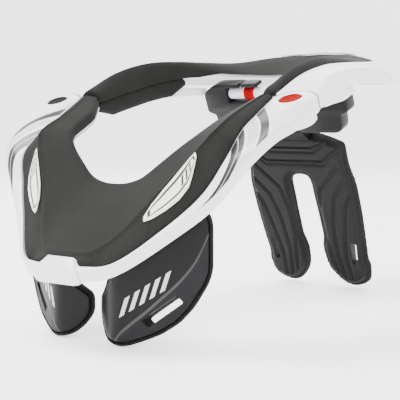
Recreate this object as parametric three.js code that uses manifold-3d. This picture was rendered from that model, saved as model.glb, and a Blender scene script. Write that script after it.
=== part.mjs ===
// Motocross neck brace, standing by itself on its two chest pads and its two back wings.
// Millimetres, +Z up, +X is the wearer's left, the wearer looks towards -Y.
// Every piece is drawn as worn (shoulder rims level). The finished group is then leaned
// forward until its chest pads and its back wings touch the table together.
import * as THREE from 'three';
import { mergeVertices } from 'three/addons/utils/BufferGeometryUtils.js';
import Module from 'manifold-3d';

// Overall sizes of the collar
const HALF_WIDTH = 145;
const FRONT_REACH = 151;
const REAR_REACH = 303;
const NOSE_HEIGHT = 129;
const SHOULDER_RISE = 68;

// Shells and pads
const SHELL_WALL = 3;
const RIM_DEPTH = 9;
const RIM_ROUND = 1.5;
const PAD_THICKNESS = 9;
const PAD_EDGE = 3;
const PAD_CROWN = 12;
const PAD_NECK_FACE = 7;
const REAR_PAD_SWELL = 2.5;
const REAR_PAD_CROWN = 1;
const LOBE_DOME = 3;
const CLEARANCE = 0.4;
const PAD_BED = 1;
const RIDGE_SHARE = 0.6;

// Shoulder joint: the front lobe lies on the rear seat, about an upright pivot
const PIVOT_X = 124.4;
const PIVOT_Y = 20.1;
const LOBE_RADIUS = 20.5;
const LOBE_TOP = 196.8;
const LOBE_THICKNESS = 14;
const LOBE_EDGE_DROP = 4.3;
const SEAT_RADIUS = 17;
const SEAT_THICKNESS = 7;
const SEAT_ARM_LENGTH = 42;
const SEAT_ARM_HALF_WIDTH = 13;
const POCKET_GAP = 0.7;
const FRONT_SWING = 30;
const BUTTON_RADIUS = 9;
const BUTTON_THICKNESS = 4.5;
const BUTTON_TRAVEL = 2;

// Nose tab over the front rim
const TAB_HALF_WIDTH = 23;
const TAB_TOP_HALF_WIDTH = 13;
const TAB_HEIGHT = 17;
const TAB_PROUD = 2.5;
const TAB_BACK = 11;

// Inserts let into the pads
const INSERT_THICKNESS = 1.6;
const INSERT_BED = 0.7;

// Chest pads
const CHEST_HEIGHT = 107;
const CHEST_LEAN = 22.9;
const CHEST_FOAM = 8;
const CHEST_COVER = 2.5;
const COVER_INSET = 3.2;
const CHEST_SLOT_LENGTH = 31;
const CHEST_SLOT_WIDTH = 7;
const CHEST_SLOT_X = 63.7;
const CHEST_SLOT_Y = -140;
const CHEST_SLOT_Z = 28.6;
const CHEST_SLOT_SLOPE = 40;

// Shoulder pads under the rear arms
const SHOULDER_PAD_DROP = 17;
const SHOULDER_PAD_FLARE = 5;

// Back carrier, adjuster and wings
const CARRIER_Y = 171;
const CARRIER_DEPTH = 15;
const CARRIER_HALF_WIDTH = 80;
const CARRIER_TOP = 150;
const CARRIER_BOTTOM = 99.5;
const WINDOW_HALF_WIDTH = 52;
const WINDOW_HEIGHT = 15;
const WINDOW_BOTTOM = 131;
const WINDOW_MOUTH = 36;
const SPINDLE_RADIUS = 5.6;
const COLLAR_RADIUS = 7;
const COLLAR_LENGTH = 11;
const COLLAR_X = 27;
const CAP_LENGTH = 22;
const CAP_HEIGHT = 4;
const STEM_HALF_WIDTH = 23;
const STEM_THICKNESS = 11;
const TILT_AXIS_Z = 112;
const BARREL_RADIUS = 6;
const WING_Y = 184;
const WING_THICKNESS = 9;
const WING_DROP = 191.2;
const WING_HALF_WIDTH = 67;
const WING_GROOVE_WIDTH = 2.2;
const WING_GROOVE_DEPTH = 1.5;
const WING_SLOT_LENGTH = 24;
const WING_SLOT_WIDTH = 6;
const WING_SLOT_SLOPE = 6;
const PRONG_WALL = 4;

// Front collar, centre to left shoulder. X is a share of HALF_WIDTH, Y of FRONT_REACH,
// Z of SHOULDER_RISE above NOSE_HEIGHT, crown of PAD_CROWN, dome of LOBE_DOME.
const FRONT_ROWS = [
  { neck: [0.000, -0.410, 0.455], edge: [0.000, -0.955, 0.060], rim: [0.000, -1.000, 0.000], crown: 0.15, dome: 0.0 },
  { neck: [0.095, -0.405, 0.470], edge: [0.180, -0.945, 0.045], rim: [0.170, -0.990, 0.000], crown: 0.20, dome: 0.0 },
  { neck: [0.180, -0.385, 0.520], edge: [0.305, -0.895, 0.035], rim: [0.320, -0.917, 0.010], crown: 0.35, dome: 0.0 },
  { neck: [0.285, -0.330, 0.655], edge: [0.505, -0.670, 0.235], rim: [0.550, -0.688, 0.210], crown: 0.65, dome: 0.0 },
  { neck: [0.385, -0.265, 0.785], edge: [0.650, -0.485, 0.470], rim: [0.740, -0.507, 0.450], crown: 1.00, dome: 0.2 },
  { neck: [0.460, -0.180, 0.870], edge: [0.725, -0.345, 0.735], rim: [0.885, -0.340, 0.775], crown: 0.85, dome: 0.4 },
  { neck: [0.485, -0.035, 0.895], edge: [0.705, -0.130, 0.880], rim: [0.940, -0.170, 0.880], crown: 0.50, dome: 0.7 },
  { neck: [0.505, 0.060, 0.905], edge: [0.708, 0.015, 0.930], rim: [0.985, -0.055, 0.905], crown: 0.35, dome: 0.9 },
  { neck: [0.605, 0.225, 0.960], edge: [0.712, 0.190, 0.980], rim: [1.000, 0.135, 0.935], crown: 0.20, dome: 1.0 },
];

// Rear collar, centre to left shoulder, in the same shares with Y of REAR_REACH.
// neck is the pad's inner lower edge, crest its top line, edge its outer border,
// fin the white ridge and skirt the lower edge of the white side wall.
const REAR_ROWS = [
  { neck: [0.000, 0.700, 0.215], crest: [0.000, 0.865, 0.225], edge: [0.000, 0.915, 0.150], fin: [0.000, 0.955, -0.040],
    skirt: [0.000, 1.000, -0.470], dome: 0.0 },
  { neck: [0.150, 0.680, 0.250], crest: [0.275, 0.830, 0.280], edge: [0.385, 0.885, 0.110], fin: [0.440, 0.935, -0.150],
    skirt: [0.430, 0.985, -0.450], dome: 0.2 },
  { neck: [0.300, 0.630, 0.355], crest: [0.415, 0.700, 0.420], edge: [0.525, 0.750, 0.305], fin: [0.600, 0.775, 0.085],
    skirt: [0.585, 0.820, -0.150], dome: 0.5 },
  { neck: [0.430, 0.570, 0.485], crest: [0.515, 0.600, 0.600], edge: [0.600, 0.625, 0.510], fin: [0.695, 0.645, 0.370],
    skirt: [0.685, 0.675, 0.120], dome: 0.8 },
  { neck: [0.540, 0.495, 0.605], crest: [0.585, 0.500, 0.790], edge: [0.660, 0.510, 0.695], fin: [0.780, 0.510, 0.605],
    skirt: [0.775, 0.545, 0.340], dome: 1.0 },
  { neck: [0.595, 0.380, 0.730], crest: [0.630, 0.390, 0.960], edge: [0.690, 0.380, 0.885], fin: [0.850, 0.370, 0.815],
    skirt: [0.845, 0.390, 0.575], dome: 0.6 },
  { neck: [0.605, 0.240, 0.840], crest: [0.655, 0.255, 1.060], edge: [0.708, 0.240, 1.000], fin: [0.910, 0.240, 0.955],
    skirt: [0.925, 0.230, 0.750], dome: 0.5 },
  { neck: [0.605, 0.120, 0.925], crest: [0.660, 0.120, 1.040], edge: [0.715, 0.104, 1.000], fin: [1.000, 0.075, 0.935],
    skirt: [1.000, 0.075, 0.810], dome: 1.0 },
];

// Left chest pad as it hangs, from its inner edge outwards. X is a share of HALF_WIDTH,
// front of FRONT_REACH; the upper and lower edge are shares of CHEST_HEIGHT above its foot.
const CHEST_ROWS = [
  { across: 0.021, front: 0.940, high: 0.33, low: 0.19 },
  { across: 0.055, front: 0.963, high: 0.37, low: 0.11 },
  { across: 0.097, front: 0.990, high: 0.42, low: 0.05 },
  { across: 0.138, front: 1.013, high: 0.50, low: 0.02 },
  { across: 0.183, front: 1.028, high: 0.59, low: 0.01 },
  { across: 0.228, front: 1.026, high: 0.69, low: 0.00 },
  { across: 0.283, front: 1.007, high: 0.77, low: 0.01 },
  { across: 0.359, front: 0.971, high: 0.88, low: 0.05 },
  { across: 0.441, front: 0.930, high: 0.96, low: 0.10 },
  { across: 0.519, front: 0.885, high: 1.00, low: 0.18 },
  { across: 0.579, front: 0.854, high: 1.00, low: 0.28 },
  { across: 0.621, front: 0.834, high: 1.00, low: 0.38 },
  { across: 0.655, front: 0.815, high: 0.98, low: 0.46 },
  { across: 0.676, front: 0.801, high: 0.90, low: 0.56 },
];

// Inserts: station, and inner and outer edge as shares of the way across the pad.
const FRONT_INSERT_ROWS = [
  { station: 2.62, inner: 0.765, outer: 0.80 },
  { station: 2.80, inner: 0.70, outer: 0.84 },
  { station: 3.10, inner: 0.66, outer: 0.87 },
  { station: 3.45, inner: 0.64, outer: 0.88 },
  { station: 3.75, inner: 0.63, outer: 0.85 },
  { station: 4.10, inner: 0.63, outer: 0.72 },
  { station: 4.25, inner: 0.63, outer: 0.66 },
];
const REAR_INSERT_ROWS = [
  { station: 0.00, inner: 0.15, outer: 0.65 },
  { station: 0.35, inner: 0.15, outer: 0.65 },
  { station: 0.65, inner: 0.25, outer: 0.65 },
  { station: 0.85, inner: 0.45, outer: 0.62 },
];

// Half outline of the carrier, clockwise from the top. X as a share of CARRIER_HALF_WIDTH,
// Z as a share of its height above CARRIER_BOTTOM.
const CARRIER_ROWS = [
  { across: 0.82, up: 1.00, round: 6 },
  { across: 1.00, up: 0.83, round: 5 },
  { across: 1.00, up: 0.43, round: 3 },
  { across: 0.89, up: 0.36, round: 2 },
  { across: 0.87, up: 0.00, round: 9 },
];

// Half outline of the wings, clockwise from the middle of the top edge.
// X as a share of WING_HALF_WIDTH, Z as a share of WING_DROP below TILT_AXIS_Z.
const WING_ROWS = [
  { across: 0.36, down: 0.097, round: 3 },
  { across: 0.58, down: 0.117, round: 12 },
  { across: 0.80, down: 0.148, round: 5 },
  { across: 0.87, down: 0.160, round: 4 },
  { across: 0.86, down: 0.290, round: 10 },
  { across: 0.93, down: 0.385, round: 14 },
  { across: 0.92, down: 0.600, round: 25 },
  { across: 0.87, down: 0.830, round: 5 },
  { across: 0.90, down: 0.855, round: 3 },
  { across: 0.86, down: 0.955, round: 12 },
  { across: 0.60, down: 1.000, round: 10 },
  { across: 0.38, down: 0.985, round: 10 },
  { across: 0.15, down: 0.890, round: 12 },
  { across: 0.12, down: 0.765, round: 6 },
  { across: 0.18, down: 0.700, round: 8 },
  { across: 0.155, down: 0.345, round: 8 },
];

// Lower arms of the rear shell, from the shoulder back to the carrier.
// X as a share of HALF_WIDTH, Y of REAR_REACH, Z of SHOULDER_RISE above NOSE_HEIGHT.
const PRONG_ROWS = [
  { across: 0.965, back: 0.145, low: 0.740, high: 0.860 },
  { across: 0.905, back: 0.220, low: 0.630, high: 0.870 },
  { across: 0.820, back: 0.352, low: 0.440, high: 0.690 },
  { across: 0.700, back: 0.490, low: 0.270, high: 0.420 },
  { across: 0.578, back: 0.605, low: 0.090, high: 0.200 },
];

const SWEEP_STEPS = 3.5;
const wasm = await Module();
wasm.setup();

// Materials, one for each finish
const finish = (color, roughness, metalness = 0) => new THREE.MeshStandardMaterial({ color, roughness, metalness });
const FINISHES = {
  shell: finish('#f0f0f2', 0.25),
  foam: finish('#3b3b39', 0.9),
  insert: finish('#e9e8d8', 0.4),
  cover: finish('#1d1e20', 0.45),
  wing: finish('#303030', 0.7),
  hard: finish('#2b2b2c', 0.55),
  red: finish('#cf2f3c', 0.35),
  spindle: finish('#dcdce6', 0.3),
};

const UP = new THREE.Vector3(0, 0, 1);

function mirrored(point) {
  return new THREE.Vector3(-point.x, point.y, point.z);
}

// Smooth rail through one column of a table, running from the right shoulder over the
// centre (station 0) to the left shoulder (station rows - 1).
function rail(rows, key, reach) {
  const left = rows.map((row) => new THREE.Vector3(
    row[key][0] * HALF_WIDTH,
    row[key][1] * reach,
    NOSE_HEIGHT + row[key][2] * SHOULDER_RISE,
  ));
  const right = left.slice(1).reverse().map(mirrored);
  const curve = new THREE.CatmullRomCurve3([...right, ...left], false, 'centripetal');
  const last = rows.length - 1;
  return (station) => curve.getPoint((station + last) / (2 * last));
}

// Straight interpolation of a plain column, the same on both sides.
function column(rows, key) {
  return (station) => {
    const place = Math.min(Math.abs(station), rows.length - 1 - 1e-9);
    const index = Math.floor(place);
    return THREE.MathUtils.lerp(rows[index][key], rows[index + 1][key], place - index);
  };
}

function stations(from, to, stepsPerStation = SWEEP_STEPS) {
  const count = Math.max(2, Math.round(Math.abs(to - from) * stepsPerStation));
  return Array.from({ length: count + 1 }, (_, i) => from + (to - from) * i / count);
}

function shifted(point, across, up, direction) {
  return point.clone().addScaledVector(direction, across).addScaledVector(UP, up);
}

function between(a, b, share) {
  return a.clone().lerp(b, share);
}

function outwardFrom(inner, outer) {
  return new THREE.Vector3(outer.x - inner.x, outer.y - inner.y, 0).normalize();
}

// Triangles of a flat or nearly flat ring.
function capTriangles(ring) {
  const normal = new THREE.Vector3();
  ring.forEach((point, i) => {
    const next = ring[(i + 1) % ring.length];
    normal.x += (point.y - next.y) * (point.z + next.z);
    normal.y += (point.z - next.z) * (point.x + next.x);
    normal.z += (point.x - next.x) * (point.y + next.y);
  });
  normal.normalize();
  const side = Math.abs(normal.z) < 0.9 ? UP.clone().cross(normal).normalize() : new THREE.Vector3(1, 0, 0);
  const other = normal.clone().cross(side);
  const flat = ring.map((point) => new THREE.Vector2(point.dot(side), point.dot(other)));
  return THREE.ShapeUtils.triangulateShape(flat, []);
}

function signedVolume(positions, triangles) {
  const corner = (index) => new THREE.Vector3().fromArray(positions, index * 3);
  return triangles.reduce((sum, [a, b, c]) => sum + corner(a).dot(corner(b).cross(corner(c))) / 6, 0);
}

function closedGeometry(positions, triangles) {
  const outward = signedVolume(positions, triangles) > 0;
  const index = triangles.flatMap(([a, b, c]) => (outward ? [a, b, c] : [a, c, b]));
  const geometry = new THREE.BufferGeometry();
  geometry.setAttribute('position', new THREE.Float32BufferAttribute(positions, 3));
  geometry.setIndex(index);
  return geometry;
}

// Skin over a row of rings with the same number of points, closed by a cap at each end.
function skin(rings) {
  const size = rings[0].length;
  const positions = rings.flat().flatMap((point) => point.toArray());
  const triangles = [];
  for (let r = 0; r + 1 < rings.length; r += 1) {
    for (let i = 0; i < size; i += 1) {
      const a = r * size + i;
      const b = r * size + (i + 1) % size;
      triangles.push([a, b, b + size]);
      triangles.push([a, b + size, a + size]);
    }
  }
  const end = (rings.length - 1) * size;
  capTriangles(rings[0]).forEach(([a, b, c]) => triangles.push([c, b, a]));
  capTriangles(rings[rings.length - 1]).forEach(([a, b, c]) => triangles.push([a + end, b + end, c + end]));
  return closedGeometry(positions, triangles);
}

// Extruded outline in the X-Z plane, from Y = back face down to Y = back - depth.
function slab(shape, front, depth, curveSegments = 5) {
  const geometry = new THREE.ExtrudeGeometry(shape, { depth, bevelEnabled: false, curveSegments });
  geometry.rotateX(Math.PI / 2);
  geometry.translate(0, front + depth, 0);
  return geometry;
}

// Closed outline with each corner rounded by its own radius.
function roundedShape(corners) {
  const shape = new THREE.Shape();
  corners.forEach((corner, i) => {
    const before = corners[(i + corners.length - 1) % corners.length];
    const after = corners[(i + 1) % corners.length];
    const here = new THREE.Vector2(corner.x, corner.z);
    const toBefore = new THREE.Vector2(before.x, before.z).sub(here);
    const toAfter = new THREE.Vector2(after.x, after.z).sub(here);
    const radius = Math.min(corner.round, toBefore.length() * 0.49, toAfter.length() * 0.49);
    const enter = here.clone().add(toBefore.setLength(radius));
    const leave = here.clone().add(toAfter.setLength(radius));
    if (i === 0) shape.moveTo(enter.x, enter.y);
    else shape.lineTo(enter.x, enter.y);
    shape.quadraticCurveTo(here.x, here.y, leave.x, leave.y);
  });
  shape.closePath();
  return shape;
}

function bothSides(halfCorners) {
  return [...halfCorners, ...[...halfCorners].reverse().map((corner) => ({ ...corner, x: -corner.x }))];
}

function box(x, y, z) {
  const geometry = new THREE.BoxGeometry(x[1] - x[0], y[1] - y[0], z[1] - z[0]);
  geometry.translate((x[0] + x[1]) / 2, (y[0] + y[1]) / 2, (z[0] + z[1]) / 2);
  return geometry;
}

function upright(radius, low, high, x, y, segments = 28) {
  const geometry = new THREE.CylinderGeometry(radius, radius, high - low, segments);
  geometry.rotateX(Math.PI / 2);
  geometry.translate(x, y, (low + high) / 2);
  return geometry;
}

function lying(radius, from, to, y, z, segments = 20) {
  const geometry = new THREE.CylinderGeometry(radius, radius, to - from, segments);
  geometry.rotateZ(Math.PI / 2);
  geometry.translate((from + to) / 2, y, z);
  return geometry;
}

// Booleans
function toSolid(geometry) {
  const bare = geometry.clone();
  bare.deleteAttribute('normal');
  bare.deleteAttribute('uv');
  const merged = mergeVertices(bare, 1e-4);
  return new wasm.Manifold(new wasm.Mesh({
    numProp: 3,
    vertProperties: new Float32Array(merged.attributes.position.array),
    triVerts: new Uint32Array(merged.index.array),
  }));
}

function toGeometry(solid) {
  const mesh = solid.getMesh();
  const geometry = new THREE.BufferGeometry();
  geometry.setAttribute('position', new THREE.Float32BufferAttribute(new Float32Array(mesh.vertProperties), 3));
  geometry.setIndex([...mesh.triVerts]);
  return geometry;
}

function join(...geometries) {
  return toGeometry(geometries.map(toSolid).reduce((sum, solid) => sum.add(solid)));
}

function cut(body, ...tools) {
  return toGeometry(tools.map(toSolid).reduce((rest, tool) => rest.subtract(tool), toSolid(body)));
}

function mirrorGeometry(geometry) {
  const copy = geometry.clone();
  copy.scale(-1, 1, 1);
  const index = [...copy.index.array];
  for (let i = 0; i < index.length; i += 3) [index[i], index[i + 1]] = [index[i + 1], index[i]];
  copy.setIndex(index);
  return copy;
}

// Rails of the collar
const front = {
  neck: rail(FRONT_ROWS, 'neck', FRONT_REACH),
  edge: rail(FRONT_ROWS, 'edge', FRONT_REACH),
  rim: rail(FRONT_ROWS, 'rim', FRONT_REACH),
  crown: column(FRONT_ROWS, 'crown'),
  dome: column(FRONT_ROWS, 'dome'),
  last: FRONT_ROWS.length - 1,
};
const rear = {
  neck: rail(REAR_ROWS, 'neck', REAR_REACH),
  crest: rail(REAR_ROWS, 'crest', REAR_REACH),
  edge: rail(REAR_ROWS, 'edge', REAR_REACH),
  fin: rail(REAR_ROWS, 'fin', REAR_REACH),
  skirt: rail(REAR_ROWS, 'skirt', REAR_REACH),
  dome: column(REAR_ROWS, 'dome'),
  last: REAR_ROWS.length - 1,
};

// Top of the front pad: flat from the neck edge to the ridge, then a flat facet to the border.
function frontPadTop(station, share) {
  const point = between(front.neck(station), front.edge(station), share);
  const tent = share < RIDGE_SHARE ? share / RIDGE_SHARE : (1 - share) / (1 - RIDGE_SHARE);
  point.z += front.crown(station) * PAD_CROWN * tent;
  return point;
}

function frontPadRing(station) {
  const out = outwardFrom(front.neck(station), front.rim(station));
  const at = (share, up) => shifted(frontPadTop(station, share), 0, up, out);
  return [
    at(0, -PAD_NECK_FACE), at(0, -2.2), at(0.02, -0.6), at(0.06, 0), at(0.3, 0), at(0.57, 0), at(0.6, -0.3),
    at(0.64, 0), at(0.8, 0), at(0.97, 0), at(1, -1), at(1, -PAD_EDGE),
    at(0.93, -PAD_EDGE - 0.5), at(0.6, -PAD_THICKNESS), at(0.3, -PAD_THICKNESS), at(0.07, -PAD_THICKNESS),
  ];
}

function frontShellRing(station) {
  const neck = front.neck(station);
  const edge = front.edge(station);
  const rim = front.rim(station);
  const out = outwardFrom(neck, rim);
  const lip = PAD_THICKNESS + PAD_BED;
  const edgeDepth = PAD_EDGE + 0.5 + PAD_BED;
  const at = (share, up) => shifted(frontPadTop(station, share), 0, up, out);
  const middle = between(edge, rim, 0.5);
  middle.z += front.dome(station) * LOBE_DOME;
  return [
    at(0.1, -lip), at(0.3, -lip), at(0.6, -lip), at(0.93, -edgeDepth), shifted(edge, PAD_BED, -edgeDepth, out),
    shifted(edge, PAD_BED, -1, out), middle, shifted(between(edge, rim, 0.88), 0, 0.2, out),
    shifted(rim, 0, -RIM_ROUND, out), shifted(rim, 0, -RIM_DEPTH, out), shifted(rim, -SHELL_WALL, -RIM_DEPTH, out),
    shifted(rim, -SHELL_WALL, -edgeDepth - SHELL_WALL, out), shifted(edge, 0, -edgeDepth - SHELL_WALL, out),
    at(0.93, -edgeDepth - SHELL_WALL), at(0.6, -lip - SHELL_WALL), at(0.3, -lip - SHELL_WALL),
    at(0.1, -lip - SHELL_WALL),
  ];
}

function lobe(grow = 0) {
  const top = LOBE_TOP + grow;
  const radius = LOBE_RADIUS + grow;
  const profile = [
    new THREE.Vector2(0, LOBE_TOP - LOBE_THICKNESS - grow),
    new THREE.Vector2(radius, LOBE_TOP - LOBE_THICKNESS - grow),
    new THREE.Vector2(radius, top - LOBE_EDGE_DROP),
    new THREE.Vector2(radius * 0.9, top - LOBE_EDGE_DROP * 0.45),
    new THREE.Vector2(radius * 0.62, top - LOBE_EDGE_DROP * 0.08),
    new THREE.Vector2(0, top),
  ];
  const geometry = new THREE.LatheGeometry(profile, 32);
  geometry.rotateX(Math.PI / 2);
  geometry.translate(PIVOT_X, PIVOT_Y, 0);
  return geometry;
}

function buttonWell() {
  const floor = LOBE_TOP - BUTTON_THICKNESS - BUTTON_TRAVEL - CLEARANCE;
  return upright(BUTTON_RADIUS + CLEARANCE, floor, LOBE_TOP + 5, PIVOT_X, PIVOT_Y);
}

function noseTab(grow = 0) {
  const y = -FRONT_REACH;
  const low = NOSE_HEIGHT - RIM_DEPTH - TAB_PROUD + 1 - grow;
  const high = low + TAB_HEIGHT + 2 * grow;
  const wide = TAB_HALF_WIDTH + grow;
  const narrow = TAB_TOP_HALF_WIDTH + grow;
  const ring = (z, half, outer, inner) => [
    new THREE.Vector3(-half, inner, z), new THREE.Vector3(half, inner, z),
    new THREE.Vector3(half, outer + 2, z), new THREE.Vector3(half - 4, outer, z),
    new THREE.Vector3(-half + 4, outer, z), new THREE.Vector3(-half, outer + 2, z),
  ];
  return skin([
    ring(low, wide - 1, y - TAB_PROUD + 1 - grow, y + TAB_BACK + grow),
    ring(low + 2, wide, y - TAB_PROUD - grow, y + TAB_BACK + grow),
    ring(low + TAB_HEIGHT * 0.6, wide, y - TAB_PROUD - grow, y + TAB_BACK + grow),
    ring(high - 1.5, narrow + 5, y + TAB_BACK * 0.5 - grow, y + TAB_BACK + grow),
    ring(high, narrow, y + TAB_BACK * 0.75 - grow, y + TAB_BACK + grow),
  ]);
}

// Thin blade lying on a pad between two shares across it.
function insertBlade(rows, surface) {
  const rings = rows.map((row) => {
    const inner = surface(row.station, row.inner);
    const middle = surface(row.station, (row.inner + row.outer) / 2);
    const outer = surface(row.station, row.outer);
    const top = INSERT_BED + INSERT_THICKNESS;
    return [
      shifted(inner, 0, INSERT_BED, UP), shifted(middle, 0, INSERT_BED, UP), shifted(outer, 0, INSERT_BED, UP),
      shifted(outer, 0, top, UP), shifted(middle, 0, top, UP), shifted(inner, 0, top, UP),
    ];
  });
  return skin(rings);
}

// Top of the rear pad from its crest line out to its border, slightly crowned.
function rearPadTop(station, share) {
  const point = between(rear.crest(station), rear.edge(station), share);
  point.z += 4 * share * (1 - share) * REAR_PAD_CROWN;
  return point;
}

function rearPadRing(station) {
  const neck = rear.neck(station);
  const crest = rear.crest(station);
  const edge = rear.edge(station);
  const out = outwardFrom(neck, rear.fin(station));
  const below = shifted(edge, 0, -PAD_EDGE, out);
  const inner = shifted(neck, 2, 0, out);
  return [
    neck, shifted(between(neck, crest, 0.3), -REAR_PAD_SWELL, 0.5, out),
    shifted(between(neck, crest, 0.7), -REAR_PAD_SWELL * 0.7, 1, out), crest,
    rearPadTop(station, 0.15), rearPadTop(station, 0.4), rearPadTop(station, 0.65), edge,
    below, between(below, inner, 0.5), inner,
  ];
}

function rearShellRing(station) {
  const neck = rear.neck(station);
  const edge = rear.edge(station);
  const fin = rear.fin(station);
  const skirt = rear.skirt(station);
  const out = outwardFrom(neck, fin);
  const seatOuter = shifted(edge, PAD_BED, -PAD_EDGE - PAD_BED, out);
  const seatInner = shifted(neck, 2 + PAD_BED, -PAD_BED, out);
  const middle = between(edge, fin, 0.45);
  middle.z -= rear.dome(station) * LOBE_DOME * 0.5;
  return [
    seatInner, between(seatInner, seatOuter, 0.5), seatOuter, shifted(edge, PAD_BED, -1, out), middle,
    shifted(between(edge, fin, 0.9), 0, 0.3, out), shifted(fin, 0, -RIM_ROUND, out), skirt,
    shifted(skirt, -SHELL_WALL, 0, out), shifted(fin, -SHELL_WALL, -SHELL_WALL - 2, out),
    shifted(middle, 0, -SHELL_WALL - 1, out), shifted(seatOuter, 0, -SHELL_WALL, out),
    shifted(between(seatInner, seatOuter, 0.5), 0, -SHELL_WALL, out), shifted(seatInner, 0, -SHELL_WALL, out),
  ];
}

// Shoulder pad: hangs under the rear arm from the joint back to where the arm turns in.
function shoulderPadRing(station, endShare) {
  const neck = rear.neck(station);
  const edge = rear.edge(station);
  const out = outwardFrom(neck, rear.fin(station));
  const under = -SHELL_WALL - 2 * PAD_BED;
  const topInner = shifted(neck, 3.5, under, out);
  const topOuter = shifted(edge, 0, under - PAD_EDGE, out);
  const drop = SHOULDER_PAD_DROP * endShare;
  return [
    topInner, topOuter, shifted(topOuter, SHOULDER_PAD_FLARE * 0.6, -drop * 0.5, out),
    shifted(topOuter, 0, -drop, out), shifted(topInner, 2, -drop, out),
    shifted(topInner, -1.5, -drop * 0.7, out), shifted(topInner, -2, -drop * 0.3, out),
  ];
}

// Curved plate of a chest pad, its outer face set back from the table's line by an offset.
function chestPlate(rows, inset, offset, thickness) {
  const places = rows.map((row) => new THREE.Vector3(row.across * HALF_WIDTH, -row.front * FRONT_REACH, 0));
  const rings = rows.map((row, i) => {
    const before = places[Math.max(i - 1, 0)];
    const after = places[Math.min(i + 1, places.length - 1)];
    const out = outwardFrom(before, after).applyAxisAngle(UP, -Math.PI / 2);
    const low = row.low * CHEST_HEIGHT + inset;
    const high = row.high * CHEST_HEIGHT;
    return [
      shifted(places[i], -offset, low, out), shifted(places[i], -offset, high, out),
      shifted(places[i], -offset - thickness, high, out), shifted(places[i], -offset - thickness, low, out),
    ];
  });
  return skin(rings);
}

function chestSlot() {
  const geometry = new THREE.BoxGeometry(CHEST_SLOT_LENGTH, 4 * (CHEST_FOAM + CHEST_COVER), CHEST_SLOT_WIDTH);
  geometry.rotateY(-THREE.MathUtils.degToRad(CHEST_SLOT_SLOPE));
  geometry.translate(CHEST_SLOT_X, CHEST_SLOT_Y, CHEST_SLOT_Z);
  return geometry;
}

// Everything above the underside of the front shell, so that a pad can be trimmed to it.
function aboveFrontShell() {
  const rings = frontStations.map((station) => {
    const edge = front.edge(station);
    const rim = front.rim(station);
    const out = outwardFrom(front.neck(station), rim);
    const under = -PAD_THICKNESS - PAD_BED - SHELL_WALL - CLEARANCE;
    const edgeUnder = -PAD_EDGE - 0.5 - PAD_BED - SHELL_WALL - CLEARANCE;
    const at = (share, up) => shifted(frontPadTop(station, share), 0, up, out);
    const reach = -SHELL_WALL - CLEARANCE;
    return [
      at(0.1, under), at(0.3, under), at(0.6, under), at(0.93, edgeUnder), shifted(edge, 0, edgeUnder, out),
      shifted(rim, reach, edgeUnder, out), shifted(rim, reach, -RIM_DEPTH - CLEARANCE, out),
      shifted(rim, SHELL_WALL, -RIM_DEPTH - CLEARANCE, out), shifted(rim, SHELL_WALL, CHEST_HEIGHT, out),
      at(0.1, CHEST_HEIGHT),
    ];
  });
  return skin(rings);
}

// A chest pad piece leaned back to how it hangs when worn and trimmed under the front shell.
function hungOnFront(plate) {
  const hung = cut(plate, chestSlot());
  hung.rotateX(-THREE.MathUtils.degToRad(CHEST_LEAN));
  return cut(hung, aboveFrontShell());
}

function carrier() {
  const height = CARRIER_TOP - CARRIER_BOTTOM;
  const half = CARRIER_ROWS.map((row) => ({
    x: row.across * CARRIER_HALF_WIDTH, z: CARRIER_BOTTOM + row.up * height, round: row.round,
  }));
  const notchHalf = STEM_HALF_WIDTH + CLEARANCE;
  const notchTop = TILT_AXIS_Z + BARREL_RADIUS + CLEARANCE;
  const corners = [
    { x: WINDOW_MOUTH, z: CARRIER_TOP, round: 2 }, ...half,
    { x: notchHalf, z: CARRIER_BOTTOM, round: 1 }, { x: notchHalf, z: notchTop, round: 1 },
  ];
  const plate = slab(roundedShape(bothSides(corners)), CARRIER_Y, CARRIER_DEPTH);
  const back = CARRIER_Y + CARRIER_DEPTH + 1;
  const window = box([-WINDOW_HALF_WIDTH, WINDOW_HALF_WIDTH], [CARRIER_Y - 1, back],
    [WINDOW_BOTTOM, WINDOW_BOTTOM + WINDOW_HEIGHT]);
  const mouth = box([-WINDOW_MOUTH, WINDOW_MOUTH], [CARRIER_Y - 1, back],
    [WINDOW_BOTTOM + WINDOW_HEIGHT - 1, CARRIER_TOP + 1]);
  return cut(plate, window, mouth);
}

function wingOutline() {
  const half = WING_ROWS.map((row) => ({
    x: row.across * WING_HALF_WIDTH, z: TILT_AXIS_Z - row.down * WING_DROP, round: row.round,
  }));
  return roundedShape(bothSides(half));
}

// Groove cut into the wearer's side of the wings along a bent line.
function groove(points) {
  const shape = new THREE.Shape();
  const offset = (side) => points.map((point, i) => {
    const before = points[Math.max(i - 1, 0)];
    const after = points[Math.min(i + 1, points.length - 1)];
    const along = new THREE.Vector2(after[0] - before[0], after[1] - before[1]).normalize();
    return new THREE.Vector2(point[0] - along.y * side, point[1] + along.x * side);
  });
  const half = WING_GROOVE_WIDTH / 2;
  const ring = [...offset(half), ...offset(-half).reverse()];
  ring.forEach((point, i) => (i === 0 ? shape.moveTo(point.x, point.y) : shape.lineTo(point.x, point.y)));
  shape.closePath();
  return slab(shape, WING_Y - 1, WING_GROOVE_DEPTH + 1);
}

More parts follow.
